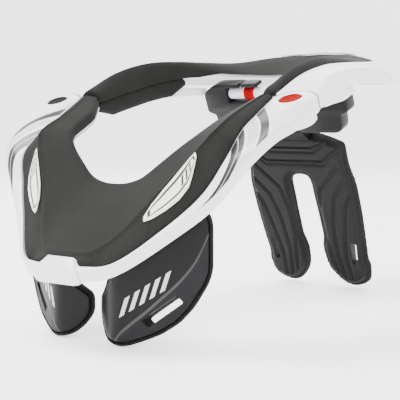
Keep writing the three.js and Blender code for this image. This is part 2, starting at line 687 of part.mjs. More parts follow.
function wings() {
  const plate = slab(wingOutline(), WING_Y, WING_THICKNESS);
  const axisY = CARRIER_Y + CARRIER_DEPTH / 2;
  const barrel = lying(BARREL_RADIUS, -STEM_HALF_WIDTH, STEM_HALF_WIDTH, axisY, TILT_AXIS_Z);
  const foot = TILT_AXIS_Z - 0.12 * WING_DROP;
  const stemRing = (x) => [
    new THREE.Vector3(x, axisY - STEM_THICKNESS / 2, TILT_AXIS_Z),
    new THREE.Vector3(x, axisY + STEM_THICKNESS / 2, TILT_AXIS_Z),
    new THREE.Vector3(x, WING_Y + WING_THICKNESS, foot + 6),
    new THREE.Vector3(x, WING_Y + WING_THICKNESS, foot - 4),
    new THREE.Vector3(x, WING_Y - 1, foot - 4),
    new THREE.Vector3(x, axisY - STEM_THICKNESS / 2, CARRIER_BOTTOM - 4),
  ];
  const stem = skin([stemRing(-STEM_HALF_WIDTH), stemRing(STEM_HALF_WIDTH)]);
  const at = (across, down) => [across * WING_HALF_WIDTH, TILT_AXIS_Z - down * WING_DROP];
  const crossGrooves = [0.200, 0.222, 0.262, 0.286].map((down, i) => {
    const knee = 0.40 - 0.03 * i;
    const lift = 0.075;
    return groove([at(-knee - 0.22, down - lift), at(-knee, down), at(knee, down), at(knee + 0.22, down - lift)]);
  });
  const legGrooves = [0, 1, 2].flatMap((k) => {
    const inner = 0.36 + 0.14 * k;
    const line = [at(inner + 0.12, 0.36 - 0.02 * k), at(inner, 0.50), at(inner - 0.02, 0.66), at(inner - 0.02, 0.80)];
    const other = line.map(([x, z]) => [-x, z]);
    return [groove(line), groove(other)];
  });
  const slot = (side) => {
    const geometry = new THREE.BoxGeometry(WING_SLOT_WIDTH, 4 * WING_THICKNESS, WING_SLOT_LENGTH);
    geometry.rotateY(side * THREE.MathUtils.degToRad(WING_SLOT_SLOPE));
    geometry.translate(side * 0.70 * WING_HALF_WIDTH, WING_Y, TILT_AXIS_Z - 0.785 * WING_DROP);
    return geometry;
  };
  return cut(join(plate, barrel, stem), ...crossGrooves, ...legGrooves, slot(1), slot(-1));
}

function prong() {
  const rings = PRONG_ROWS.map((row, i) => {
    const x = row.across * HALF_WIDTH;
    const y = row.back * REAR_REACH;
    const low = NOSE_HEIGHT + row.low * SHOULDER_RISE;
    const high = NOSE_HEIGHT + row.high * SHOULDER_RISE;
    const next = PRONG_ROWS[Math.min(i + 1, PRONG_ROWS.length - 1)];
    const before = PRONG_ROWS[Math.max(i - 1, 0)];
    const along = new THREE.Vector3((next.across - before.across) * HALF_WIDTH, (next.back - before.back) * REAR_REACH, 0);
    const out = new THREE.Vector3(along.y, -along.x, 0).normalize();
    const inner = new THREE.Vector3(x, y, 0).addScaledVector(out, -PRONG_WALL);
    return [
      new THREE.Vector3(x, y, low), new THREE.Vector3(x, y, high),
      new THREE.Vector3(inner.x, inner.y, high), new THREE.Vector3(inner.x, inner.y, low),
    ];
  });
  return skin(rings);
}

function rearShell() {
  const sweep = skin(stations(-rear.last, rear.last).map(rearShellRing));
  const seatTop = LOBE_TOP - LOBE_THICKNESS - CLEARANCE;
  const seatLow = seatTop - SEAT_THICKNESS;
  const seat = upright(SEAT_RADIUS, seatLow, seatTop, PIVOT_X, PIVOT_Y);
  const armX = [PIVOT_X - SEAT_ARM_HALF_WIDTH, PIVOT_X + SEAT_ARM_HALF_WIDTH - 6];
  const arm = box(armX, [PIVOT_Y, PIVOT_Y + SEAT_ARM_LENGTH], [seatLow, seatTop]);
  const riser = box(armX, [PIVOT_Y + LOBE_RADIUS + 4, PIVOT_Y + SEAT_ARM_LENGTH], [seatLow, LOBE_TOP - 5]);
  const left = [seat, arm, riser, prong()];
  const right = left.map(mirrorGeometry);
  const pocketFloor = seatTop + CLEARANCE / 2;
  const pocket = upright(LOBE_RADIUS + POCKET_GAP, pocketFloor, LOBE_TOP + 10, PIVOT_X, PIVOT_Y, 36);
  const body = cut(sweep, pocket, mirrorGeometry(pocket), ...flankSweep());
  return join(body, ...left, ...right);
}

// Room for the outer flank of the right lobe when the front half swings open.
function flankSweep() {
  const steps = 6;
  return Array.from({ length: steps + 1 }, (_, i) => {
    const geometry = box([-LOBE_RADIUS - POCKET_GAP, 0], [-2 * LOBE_RADIUS, 0], [LOBE_TOP - 24, LOBE_TOP + 10]);
    geometry.rotateZ(-THREE.MathUtils.degToRad(FRONT_SWING * i / steps));
    geometry.translate(-PIVOT_X, PIVOT_Y, 0);
    return geometry;
  });
}

// The brace
const brace = new THREE.Group();
const worn = new THREE.Group();
brace.add(worn);

function add(name, geometry, material) {
  const mesh = new THREE.Mesh(geometry, material);
  mesh.name = name;
  worn.add(mesh);
  return mesh;
}

function addPair(name, geometry, material, rightMaterial = material) {
  add(`${name}_left`, geometry, material);
  add(`${name}_right`, mirrorGeometry(geometry), rightMaterial);
}

const frontStations = stations(-front.last, front.last);
const frontShell = join(skin(frontStations.map(frontShellRing)), lobe(), mirrorGeometry(lobe()));
const well = buttonWell();
add('front_shell', cut(frontShell, well, mirrorGeometry(well), noseTab(CLEARANCE)), FINISHES.shell);
const frontPadSkin = skin(frontStations.map(frontPadRing));
add('front_pad', cut(frontPadSkin, noseTab(CLEARANCE)), FINISHES.foam);
add('nose_tab', noseTab(), FINISHES.shell);
addPair('front_insert', insertBlade(FRONT_INSERT_ROWS, frontPadTop), FINISHES.insert);

const button = upright(BUTTON_RADIUS, LOBE_TOP - BUTTON_THICKNESS, LOBE_TOP, PIVOT_X, PIVOT_Y);
addPair('button', button, FINISHES.red, FINISHES.hard);

const coverDepth = CHEST_COVER + CLEARANCE;
addPair('chest_pad', hungOnFront(chestPlate(CHEST_ROWS, 0, coverDepth, CHEST_FOAM)), FINISHES.foam);
addPair('chest_cover', hungOnFront(chestPlate(CHEST_ROWS.slice(1, -1), COVER_INSET, 0, CHEST_COVER)), FINISHES.cover);

add('rear_shell', rearShell(), FINISHES.shell);
add('rear_pad', skin(stations(-rear.last, rear.last).map(rearPadRing)), FINISHES.foam);
const rearInsertHalf = [...REAR_INSERT_ROWS].reverse().map((row) => ({ ...row, station: -row.station }));
add('rear_insert', insertBlade([...rearInsertHalf, ...REAR_INSERT_ROWS.slice(1)], rearPadTop), FINISHES.insert);

const padStations = stations(4, rear.last, 4);
const shoulderPad = skin(padStations.map((station, i) => {
  const fromEnd = Math.min(i, padStations.length - 1 - i);
  return shoulderPadRing(station, Math.min(1, 0.45 + 0.28 * fromEnd));
}));
addPair('shoulder_pad', shoulderPad, FINISHES.foam);

const spindleY = CARRIER_Y + CARRIER_DEPTH / 2;
const spindleZ = WINDOW_BOTTOM + WINDOW_HEIGHT / 2;
add('carrier', carrier(), FINISHES.hard);
const spindleEnd = WINDOW_HALF_WIDTH - CLEARANCE;
add('spindle', lying(SPINDLE_RADIUS, -spindleEnd, spindleEnd, spindleY, spindleZ), FINISHES.spindle);
const collarTube = cut(
  lying(COLLAR_RADIUS, COLLAR_X - COLLAR_LENGTH / 2, COLLAR_X + COLLAR_LENGTH / 2, spindleY, spindleZ),
  lying(SPINDLE_RADIUS + CLEARANCE, COLLAR_X - COLLAR_LENGTH, COLLAR_X + COLLAR_LENGTH, spindleY, spindleZ),
);
addPair('adjuster_collar', collarTube, FINISHES.red);
const capLow = spindleZ + COLLAR_RADIUS + CLEARANCE;
const cap = box([COLLAR_X - CAP_LENGTH / 2, COLLAR_X + CAP_LENGTH / 2 - 3], [spindleY - 6, spindleY + 6],
  [capLow, capLow + CAP_HEIGHT]);
addPair('adjuster_cap', cap, FINISHES.hard);
add('wings', wings(), FINISHES.wing);

// Lowest point of the named pieces when the brace leans forward by an angle.
function lowestPoint(prefix, angle) {
  const turn = new THREE.Matrix4().makeRotationX(angle);
  const heights = worn.children.filter((mesh) => mesh.name.startsWith(prefix)).map((mesh) => {
    const turned = mesh.geometry.clone().applyMatrix4(turn);
    turned.computeBoundingBox();
    return turned.boundingBox.min.z;
  });
  return Math.min(...heights);
}

// The lean at which chest pads and wings stand on one floor, found by halving.
function standingLean() {
  let low = 0;
  let high = THREE.MathUtils.degToRad(60);
  for (let step = 0; step < 24; step += 1) {
    const angle = (low + high) / 2;
    if (lowestPoint('wings', angle) < lowestPoint('chest_pad', angle)) low = angle;
    else high = angle;
  }
  return (low + high) / 2;
}

// Lean the brace forward, then stand it on the floor with the middle of its box at the origin.
worn.rotation.x = standingLean();
brace.updateMatrixWorld(true);
const bounds = new THREE.Box3().setFromObject(brace, true);
const centre = bounds.getCenter(new THREE.Vector3());
worn.position.set(-centre.x, -centre.y, -bounds.min.z);

export default brace;
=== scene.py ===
"""Looks of a motocross neck brace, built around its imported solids.

Every shape is worked out in the worn frame, in millimetres: shoulder rims level, the wearer
looking towards -Y. WornFrame then leans it forward onto its chest pads and back wings, in
metres, which is where the solids stand.
"""

import logging
import math
from dataclasses import dataclass, field
from enum import Enum
from typing import Callable, Iterable, Sequence

import bmesh
import bpy
import numpy as np
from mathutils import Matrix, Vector
from mathutils.geometry import delaunay_2d_cdt, tessellate_polygon


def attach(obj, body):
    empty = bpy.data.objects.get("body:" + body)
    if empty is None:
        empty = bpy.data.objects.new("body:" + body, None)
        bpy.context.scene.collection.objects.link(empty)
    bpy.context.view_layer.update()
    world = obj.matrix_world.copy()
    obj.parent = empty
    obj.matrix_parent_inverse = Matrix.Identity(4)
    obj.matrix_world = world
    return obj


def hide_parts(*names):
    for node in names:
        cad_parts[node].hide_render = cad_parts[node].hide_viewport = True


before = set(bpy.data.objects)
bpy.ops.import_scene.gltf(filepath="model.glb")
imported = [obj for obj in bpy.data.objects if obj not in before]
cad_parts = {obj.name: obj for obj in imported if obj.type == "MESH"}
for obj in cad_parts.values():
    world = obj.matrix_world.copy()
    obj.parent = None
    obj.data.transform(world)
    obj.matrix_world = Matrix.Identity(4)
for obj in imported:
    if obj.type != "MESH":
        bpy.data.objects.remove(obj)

log = logging.getLogger("neck_brace")

Grid = np.ndarray
Piece = bpy.types.Object
Socket = bpy.types.NodeSocket
Colour = tuple[float, float, float]
Place = tuple[float, float, float]
MM = 0.001

# Overall sizes, millimetres
HALF_WIDTH = 145.0
FRONT_REACH = 151.0
REAR_REACH = 303.0
NOSE_HEIGHT = 129.0
SHOULDER_RISE = 68.0
SHELL_WALL = 3.0
RIM_DEPTH = 9.0
RIM_ROUND = 1.5
PAD_THICKNESS = 9.0
PAD_EDGE = 3.0
PAD_CROWN = 12.0
PAD_NECK_FACE = 7.0
PAD_BED = 1.0
CLEARANCE = 0.4
RIDGE_SHARE = 0.6
LOBE_DOME = 3.0
PIVOT = (124.4, 20.1)
LOBE_RADIUS = 20.5
LOBE_TOP = 196.8
LOBE_THICKNESS = 14.0
BUTTON_RADIUS = 9.0
BUTTON_THICKNESS = 4.5
BUTTON_TRAVEL = 2.0
CARRIER_Y = 171.0
CARRIER_DEPTH = 15.0
WING_BACK = 193.0
TILT_AXIS_Z = 112.0
FOAM_SPACING = 4.0

# Height of the line on the chest covers against the length along them, as shares of 100 mm
COVER_LINE = ((0.0, 0.0), (0.26, 0.02), (0.36, 0.12), (0.62, 0.34), (0.9, 0.62), (1.0, 0.8))


@dataclass(frozen=True)
class WornFrame:
    """The frame that the brace is drawn in, and how it leans and stands on the floor."""

    lean_deg: float = 22.96718537807465
    shift_y: float = -25.4651605462266
    shift_z: float = 0.17834658535377912

    def to_row(self, points: Grid) -> Grid:
        """Turns worn millimetres into standing metres.

        y = y' cos L - z' sin L + shift_y and z = y' sin L + z' cos L + shift_z.

        Args:
            points: array whose last axis holds x, y and z, with any further channels after them.
        Returns:
            The same points standing on the floor, three channels wide.
        """
        lean = math.radians(self.lean_deg)
        out = np.array(points[..., :3], dtype=float)
        y, z = points[..., 1], points[..., 2]
        out[..., 1] = y * math.cos(lean) - z * math.sin(lean) + self.shift_y
        out[..., 2] = y * math.sin(lean) + z * math.cos(lean) + self.shift_z
        return out * MM


WORN = WornFrame()
HANGING = WornFrame(lean_deg=WORN.lean_deg - 22.9)


class Side(Enum):
    """Which side of the wearer a paired piece is on."""

    LEFT = 1.0
    RIGHT = -1.0

    @property
    def word(self) -> str:
        """The side's word in a piece's name."""
        return self.name.lower()


class Slot(Enum):
    """Material slots of the record."""

    SHELL = "shell_white"
    FOAM = "foam_charcoal"
    INSERT = "insert_cream"
    BUTTON = "button_red"
    PLASTIC = "plastic_black"
    COVER = "cover_black"
    SPINDLE = "spindle_lavender"


class Rail:
    """A smooth line through one column of a table, from the right shoulder to the left.

    It is the centripetal Catmull-Rom curve through the column and its mirror image, and its
    parameter is the station: the row's number, negative on the wearer's right.
    """

    def __init__(self, shares: Sequence[Sequence[float]], reach: float) -> None:
        """Lays out the control points.

        Args:
            shares: x, y and z shares of each row, from the centre to the left shoulder.
            reach: the size that the y share follows.
        """
        left = np.array(shares, dtype=float) * (HALF_WIDTH, reach, SHOULDER_RISE)
        left[:, 2] += NOSE_HEIGHT
        right = left[:0:-1] * (-1.0, 1.0, 1.0)
        body = np.vstack([right, left])
        self.points = np.vstack([2 * body[0] - body[1], body, 2 * body[-1] - body[-2]])
        self.last = len(left) - 1

    def at(self, station: Grid) -> Grid:
        """Points of the rail.

        Args:
            station: stations, one per point.
        Returns:
            One row of x, y, z for each station.
        """
        place = np.asarray(station, dtype=float) + self.last
        index = np.clip(np.floor(place).astype(int), 0, 2 * self.last - 1)
        w = (place - index)[:, None]
        p0, p1, p2, p3 = (self.points[index + k] for k in range(4))
        steps = ((p0, p1), (p1, p2), (p2, p3))
        d0, d1, d2 = (np.sqrt(np.linalg.norm(b - a, axis=1))[:, None] for a, b in steps)
        t1 = ((p1 - p0) / d0 - (p2 - p0) / (d0 + d1) + (p2 - p1) / d1) * d1
        t2 = ((p2 - p1) / d1 - (p3 - p1) / (d1 + d2) + (p3 - p2) / d2) * d1
        c2 = -3 * p1 + 3 * p2 - 2 * t1 - t2
        c3 = 2 * p1 - 2 * p2 + t1 + t2
        return p1 + t1 * w + c2 * w**2 + c3 * w**3


def column(values: Sequence[float], station: Grid) -> Grid:
    """Straight interpolation of a plain column, the same on both sides, as a column vector."""
    return np.interp(np.abs(station), np.arange(len(values)), values)[:, None]


def run_length(line: Grid) -> Grid:
    """Length along a line of points, from 0 at the first of them."""
    return np.concatenate([[0], np.cumsum(np.linalg.norm(np.diff(line, axis=0), axis=1))])


def evened(line: Grid, count: int) -> Grid:
    """Spaces points evenly round a closed line.

    Args:
        line: corners of the line, one row each.
        count: number of points wanted.
    Returns:
        The new points, one row each.
    """
    closed = np.vstack([line, line[:1]])
    place = run_length(closed)
    even = np.linspace(0, place[-1], count, endpoint=False)
    return np.stack([np.interp(even, place, closed[:, k]) for k in range(2)], axis=1)


def outward(inner: Grid, outer: Grid) -> Grid:
    """Level unit vectors from inner points to outer points."""
    flat = (outer - inner) * (1.0, 1.0, 0.0)
    return flat / np.linalg.norm(flat, axis=1, keepdims=True)


def shifted(points: Grid, across: float | Grid, up: float | Grid, direction: Grid) -> Grid:
    """Points moved by a distance along a level direction and by a height."""
    moved = points + direction * across
    moved[:, 2:3] += up
    return moved


def with_uv(points: Grid, u: Grid, v: float) -> Grid:
    """Adds two texture channels to points: u for each point and one v."""
    return np.hstack([points, np.asarray(u, dtype=float)[:, None], np.full((len(points), 1), v)])


def rounded(rings: Grid, radii: Sequence[float], steps: int = 4) -> Grid:
    """Rounds each corner of a row of rings.

    Corner p becomes the curve (1-t)^2 a + 2t(1-t) p + t^2 b, where a and b lie on the two
    sides at the corner's radius, or at 0.45 of a side where the side is short.

    Args:
        rings: (stations, corners, channels) array, the first three channels x, y, z.
        radii: one radius for each corner.
        steps: pieces of each rounded corner.
    Returns:
        (stations, corners * (steps + 1), channels) array.
    """
    size = np.array(radii, dtype=float)[None, :, None]
    before, after = np.roll(rings, 1, axis=1), np.roll(rings, -1, axis=1)

    def toward(other: Grid) -> Grid:
        """Points on the sides to a neighbouring corner, at the radius."""
        span = np.linalg.norm((other - rings)[..., :3], axis=2, keepdims=True)
        return rings + (other - rings) * np.minimum(size / np.maximum(span, 1e-9), 0.45)

    enter, leave = toward(before), toward(after)
    t = np.linspace(0.0, 1.0, steps + 1)[None, None, :, None]
    e, c, f = enter[:, :, None], rings[:, :, None], leave[:, :, None]
    curve = (1 - t) ** 2 * e + 2 * t * (1 - t) * c + t**2 * f
    return curve.reshape(rings.shape[0], -1, rings.shape[2])


def densified(rings: Grid, spacing: float) -> Grid:
    """Splits the long sides of all rings alike, so that no side is much over a spacing.

    Args:
        rings: (stations, corners, channels) array.
        spacing: largest length of a side, in the rings' own unit.
    Returns:
        An array with more corners in each ring.
    """
    after = np.roll(rings, -1, axis=1)
    spans = np.linalg.norm((after - rings)[..., :3], axis=2).max(axis=0)
    parts = []
    for k, span in enumerate(spans):
        count = max(1, int(np.ceil(span / spacing)))
        t = (np.arange(count) / count)[None, :, None]
        parts.append(rings[:, k:k + 1] * (1 - t) + after[:, k:k + 1] * t)
    return np.concatenate(parts, axis=1)


def soft_ends(rings: Grid, radius: float, steps: int = 5) -> Grid:
    """Rounds the two ends of a sweep.

    Each end ring is pulled back by r - r sin a and drawn in towards its middle by r - r cos a,
    for a from 0 to 90 degrees.

    Args:
        rings: (stations, corners, channels) array.
        radius: radius of the rounded end.
        steps: rings in each rounded end.
    Returns:
        An array with more stations.
    """
    angles = np.linspace(0.0, math.pi / 2, steps)

    def end(last: Grid, before: Grid) -> Grid:
        """The rounded rings of one end."""
        middle = last[:, :3].mean(axis=0)
        along = middle - before[:, :3].mean(axis=0)
        along /= np.linalg.norm(along)
        away = last[:, :3] - middle
        length = np.linalg.norm(away, axis=1, keepdims=True)
        made = np.repeat(last[None], steps, axis=0)
        for k, angle in enumerate(angles):
            inset = np.minimum(radius * (1 - math.cos(angle)), 0.6 * length)
            made[k, :, :3] = last[:, :3] - away / length * inset - along * radius * (1 - math.sin(angle))
        return made

    tail = end(rings[-1], rings[-3])
    head = end(rings[0], rings[2])[::-1]
    return np.concatenate([head, rings[1:-1], tail], axis=0)


def profiled(ring: Sequence[tuple[Grid, float, float]], u: Grid, soft: float = 0.0) -> Grid:
    """Rings of a profile whose corners are carried along a sweep.

    Args:
        ring: for each corner its points, one per station, its texture share and its radius.
        u: texture place of each station.
        soft: radius of the rounded ends of a foam piece, or 0 for plain ends.
    Returns:
        (stations, corners, 5) array with the corners rounded.
    """
    grid = np.stack([with_uv(points, u, v) for points, v, _ in ring], axis=1)
    rings = rounded(grid, [radius for *_, radius in ring], 3)
    return soft_ends(densified(rings, FOAM_SPACING), soft) if soft else rings


def new_piece(name: str, vertices: Grid, faces: Iterable[Sequence[int]],
              uv: Grid | None = None) -> Piece:
    """Makes a mesh object at the origin and links it to the scene.

    Args:
        name: the piece's name.
        vertices: points in metres, standing frame.
        faces: corner numbers of each face.
        uv: texture place of each point, if the finish needs one.
    Returns:
        The new object.
    """
    mesh = bpy.data.meshes.new(name)
    corners = [list(map(int, face)) for face in faces]
    mesh.from_pydata(np.asarray(vertices, dtype=float).tolist(), [], corners)
    if uv is not None:
        layer = mesh.uv_layers.new(name="surface")
        corner = np.empty(len(mesh.loops), dtype=np.int32)
        mesh.loops.foreach_get("vertex_index", corner)
        layer.data.foreach_set("uv", np.asarray(uv, dtype=np.float32)[corner].ravel())
    mesh.validate()
    piece = bpy.data.objects.new(name, mesh)
    bpy.context.scene.collection.objects.link(piece)
    return piece


def face_outward(piece: Piece, merge: float = 1e-6) -> None:
    """Merges doubled points and points every face of a closed mesh outwards.

    Args:
        piece: the mesh object.
        merge: how near points have to be, in metres, to become one.
    """
    work = bmesh.new()
    work.from_mesh(piece.data)
    bmesh.ops.remove_doubles(work, verts=work.verts, dist=merge)
    bmesh.ops.recalc_face_normals(work, faces=work.faces)
    if work.calc_volume(signed=True) < 0:
        bmesh.ops.reverse_faces(work, faces=work.faces)
    work.to_mesh(piece.data)
    work.free()


def smooth(piece: Piece, angle_deg: float = 35.0) -> Piece:
    """Shades a piece smooth except along edges sharper than an angle, and gives it back."""
    piece.data.shade_smooth()
    piece.data.set_sharp_from_angle(angle=math.radians(angle_deg))
    return piece


def sweep(name: str, rings: Grid, frame_of: WornFrame = WORN) -> Piece:
    """Skins a row of closed rings, capped at both ends.

    Vertex (s, r) is ring s, corner r; face (s, r) joins it to its three neighbours.

    Args:
        name: the piece's name.
        rings: (stations, corners, 5) array of worn millimetres and texture place.
        frame_of: the frame that the rings are drawn in.
    Returns:
        A closed mesh object with faces outwards.
    """
    rows, size = rings.shape[:2]
    s, r = np.meshgrid(np.arange(rows - 1), np.arange(size), indexing="ij")
    a, b = (s * size + r).ravel(), (s * size + (r + 1) % size).ravel()
    quads = np.stack([a, b, b + size, a + size], axis=1).tolist()
    caps = [list(range(size))[::-1], list(range((rows - 1) * size, rows * size))]
    flat = rings.reshape(-1, rings.shape[2])
    piece = new_piece(name, frame_of.to_row(flat), quads + caps, flat[:, 3:5])
    face_outward(piece)
    return piece


def lathe(name: str, profile: Sequence[tuple[float, float]], place: tuple[float, float],
          segments: int = 96) -> Piece:
    """Turns a profile about an upright line: x = cx + r cos a, y = cy + r sin a, z = h.

    Args:
        name: the piece's name.
        profile: radius and height pairs, starting and ending on the line.
        place: x and y of the line in the worn frame.
        segments: facets round the line.
    Returns:
        A closed mesh object.
    """
    line = np.array(profile, dtype=float)
    angle = np.linspace(0, 2 * math.pi, segments, endpoint=False)
    radius, height = line[:, 0][:, None], line[:, 1][:, None]
    x, y = radius * np.cos(angle), radius * np.sin(angle)
    grid = np.stack([place[0] + x, place[1] + y, height + 0 * angle, x / 10, y / 10], axis=2)
    return sweep(name, grid)


def block(name: str, low: Sequence[float], high: Sequence[float], turn_deg: float = 0.0,
          about: tuple[float, float] = (0.0, 0.0)) -> Piece:
    """A closed box, turned about an upright line and then moved to it.

    Args:
        name: the piece's name.
        low: lowest x, y and z in worn millimetres, before the move.
        high: highest x, y and z.
        turn_deg: the turn.
        about: x and y of the line.
    Returns:
        A closed mesh object.
    """
    x0, y0, z0 = low
    x1, y1, z1 = high
    ring = np.array([[x0, y0], [x1, y0], [x1, y1], [x0, y1]], dtype=float)
    turn = math.radians(turn_deg)
    ring = ring @ np.array([[math.cos(turn), math.sin(turn)], [-math.sin(turn), math.cos(turn)]]) + about
    grid = np.zeros((2, 4, 5))
    grid[:, :, :2] = ring
    grid[0, :, 2], grid[1, :, 2] = z0, z1
    return sweep(name, grid)


def strap_slot(centre: Sequence[float], half: Sequence[float], turn_deg: float, radius: float,
               frame_of: WornFrame = WORN, textured: bool = False) -> Piece:
    """A box that cuts a strap slot along Y, slanted in the X-Z plane, its edges rounded.

    Args:
        centre: its middle in worn millimetres.
        half: half its size along x, y and z before the slant.
        turn_deg: the slant, from +X towards +Z.
        radius: radius of its edges in millimetres.
        frame_of: the frame that it is drawn in.
        textured: whether it carries texture places, as the piece that it cuts does.
    Returns:
        A closed mesh object.
    """
    signs = np.array([[x, y, z] for x in (-1, 1) for y in (-1, 1) for z in (-1, 1)], dtype=float)
    local, turn = signs * half, math.radians(turn_deg)
    x = local[:, 0] * math.cos(turn) - local[:, 2] * math.sin(turn)
    z = local[:, 0] * math.sin(turn) + local[:, 2] * math.cos(turn)
    turned = np.stack([x, local[:, 1], z], axis=1) + centre
    faces = [(0, 1, 3, 2), (4, 6, 7, 5), (0, 4, 5, 1), (2, 3, 7, 6), (0, 2, 6, 4), (1, 5, 7, 3)]
    tool = new_piece("slot", frame_of.to_row(turned), faces, np.zeros((8, 2)) if textured else None)
    face_outward(tool)
    bevelled(tool, radius)
    return tool


def evaluated(piece: Piece) -> None:
    """Puts a piece's modifiers into its mesh for good."""
    bpy.context.view_layer.update()
    graph = bpy.context.evaluated_depsgraph_get()
    done = bpy.data.meshes.new_from_object(piece.evaluated_get(graph), preserve_all_data_layers=True,
                                           depsgraph=graph)
    old = piece.data
    piece.modifiers.clear()
    piece.data = done
    done.name = piece.name
    bpy.data.meshes.remove(old)


def combine(piece: Piece, tools: Iterable[Piece], operation: str) -> None:
    """Joins tools to a piece or cuts them out of it, deletes them and heals the seams.

    Args:
        piece: a closed mesh object.
        tools: closed mesh objects.
        operation: UNION or DIFFERENCE.
    """
    for tool in tools:
        step = piece.modifiers.new("combine", "BOOLEAN")
        step.operation = operation
        step.object = tool
        step.solver = "EXACT"
        evaluated(piece)
        bpy.data.objects.remove(tool)
    work = bmesh.new()
    work.from_mesh(piece.data)
    bmesh.ops.remove_doubles(work, verts=work.verts, dist=3e-6)
    bmesh.ops.dissolve_degenerate(work, edges=work.edges, dist=3e-6)
    work.to_mesh(piece.data)
    work.free()


def bevelled(piece: Piece, width: float, segments: int = 3, angle_deg: float = 30.0) -> None:
    """Rounds the sharp edges of a piece.

    Args:
        piece: the piece.
        width: width of the rounding in millimetres.
        segments: faces across it.
        angle_deg: the least angle of an edge that is rounded.
    """
    step = piece.modifiers.new("bevel", "BEVEL")
    step.width = width * MM
    step.segments = segments
    step.limit_method = "ANGLE"
    step.angle_limit = math.radians(angle_deg)
    step.use_clamp_overlap = True
    evaluated(piece)


def joined(name: str, parts: Sequence[Piece]) -> Piece:
    """Puts several meshes into one object without merging them."""
    work = bmesh.new()
    for part in parts:
        work.from_mesh(part.data)
    mesh = bpy.data.meshes.new(name)
    work.to_mesh(mesh)
    work.free()
    for part in parts:
        bpy.data.objects.remove(part)
    piece = bpy.data.objects.new(name, mesh)
    bpy.context.scene.collection.objects.link(piece)
    return piece


def mirrored(piece: Piece, name: str) -> Piece:
    """A copy of a piece on the wearer's other side, its faces outwards."""
    copy = bpy.data.objects.new(name, piece.data.copy())
    bpy.context.scene.collection.objects.link(copy)
    count = len(copy.data.vertices)
    places = np.empty(count * 3, dtype=np.float32)
    copy.data.vertices.foreach_get("co", places)
    places = places.reshape(-1, 3) * (-1.0, 1.0, 1.0)
    copy.data.vertices.foreach_set("co", places.ravel().astype(np.float32))
    copy.data.flip_normals()
    return copy


def linear(colour: Sequence[float]) -> tuple[float, float, float, float]:
    """A display colour of 0 to 255 as scene-linear red, green, blue and alpha."""
    value = np.array(colour, dtype=float) / 255.0
    value = np.where(value <= 0.04045, value / 12.92, ((value + 0.055) / 1.055) ** 2.4)
    return (*value.tolist(), 1.0)


class Graph:
    """A small hand for wiring shader nodes."""

    def __init__(self, tree: bpy.types.NodeTree) -> None:
        """Keeps the tree that nodes go into."""
        self.tree = tree

    def node(self, kind: str, **settings: object) -> bpy.types.Node:
        """Adds a node and sets its properties."""
        made = self.tree.nodes.new(kind)
        for key, value in settings.items():
            setattr(made, key, value)
        return made

    def put(self, value: float | Sequence[float] | Socket, socket: Socket) -> None:
        """Links a socket or writes a plain value into one."""
        if isinstance(value, bpy.types.NodeSocket):
            self.tree.links.new(value, socket)
        else:
            socket.default_value = value

    def math(self, operation: str, a: float | Socket, b: float | Socket = 0.0,
             c: float | Socket = 0.0) -> Socket:
        """One Math node of one to three terms."""
        made = self.node("ShaderNodeMath", operation=operation)
        for value, socket in zip((a, b, c), made.inputs):
            self.put(value, socket)
        return made.outputs[0]

    def step(self, value: Socket, low: float, high: float) -> Socket:
        """Smooth ramp from 0 below low to 1 above high."""
        made = self.node("ShaderNodeMapRange", interpolation_type="SMOOTHSTEP")
        self.put(value, made.inputs["Value"])
        made.inputs["From Min"].default_value = low
        made.inputs["From Max"].default_value = high
        return made.outputs[0]

    def within(self, value: Socket, low: float, high: float, soft: float = 0.01) -> Socket:
        """Mask that is 1 between two limits."""
        rise = self.step(value, low - soft, low + soft)
        fall = self.step(value, high - soft, high + soft)
        return self.math("SUBTRACT", rise, fall)

    def mix(self, factor: float | Socket, a: Sequence[float] | Socket,
            b: Sequence[float] | Socket) -> Socket:
        """Mixes two colours."""
        made = self.node("ShaderNodeMix", data_type="RGBA")
        self.put(factor, made.inputs[0])
        self.put(a, made.inputs[6])
        self.put(b, made.inputs[7])
        return made.outputs[2]

    def noise(self, vector: Socket, scale: float | Socket, detail: float = 3.0) -> Socket:
        """Noise value over a vector."""
        made = self.node("ShaderNodeTexNoise")
        self.put(vector, made.inputs["Vector"])
        self.put(scale, made.inputs["Scale"])
        made.inputs["Detail"].default_value = detail
        return made.outputs["Fac"]


def shader_group(name: str, inputs: dict[str, float | str], outputs: Sequence[str],
                 wire: Callable[[Graph, dict[str, Socket]], dict[str, Socket]]) -> bpy.types.NodeTree:
    """Builds a shader node group with named sockets.

    Args:
        name: the group's name.
        inputs: socket names with their default, or the word vector for a vector socket.
        outputs: names of the value sockets that it puts out.
        wire: makes the nodes and gives the socket for each output.
    Returns:
        The node group.
    """
    tree = bpy.data.node_groups.new(name, "ShaderNodeTree")
    for key, value in inputs.items():
        kind = "NodeSocketVector" if value == "vector" else "NodeSocketFloat"
        socket = tree.interface.new_socket(name=key, in_out="INPUT", socket_type=kind)
        if value != "vector":
            socket.default_value = value
    for key in outputs:
        tree.interface.new_socket(name=key, in_out="OUTPUT", socket_type="NodeSocketFloat")
    graph = Graph(tree)
    start, end = graph.node("NodeGroupInput"), graph.node("NodeGroupOutput")
    made = wire(graph, {key: start.outputs[key] for key in inputs})
    for key in outputs:
        tree.links.new(made[key], end.inputs[key])
    return tree


def wire_skin(graph: Graph, given: dict[str, Socket]) -> dict[str, Socket]:
    """Fine skin of foam or moulded plastic: cells over a slow mottle."""
    cells = graph.node("ShaderNodeTexVoronoi")
    graph.put(given["Vector"], cells.inputs["Vector"])
    graph.put(given["Scale"], cells.inputs["Scale"])
    fine = graph.noise(given["Vector"], given["Scale"], 2.0)
    slow = graph.noise(given["Vector"], 45.0, 3.0)
    height = graph.math("MULTIPLY_ADD", cells.outputs["Distance"], 0.6, fine)
    return {"Height": height, "Fleck": graph.step(fine, 0.42, 0.66), "Mottle": slow}


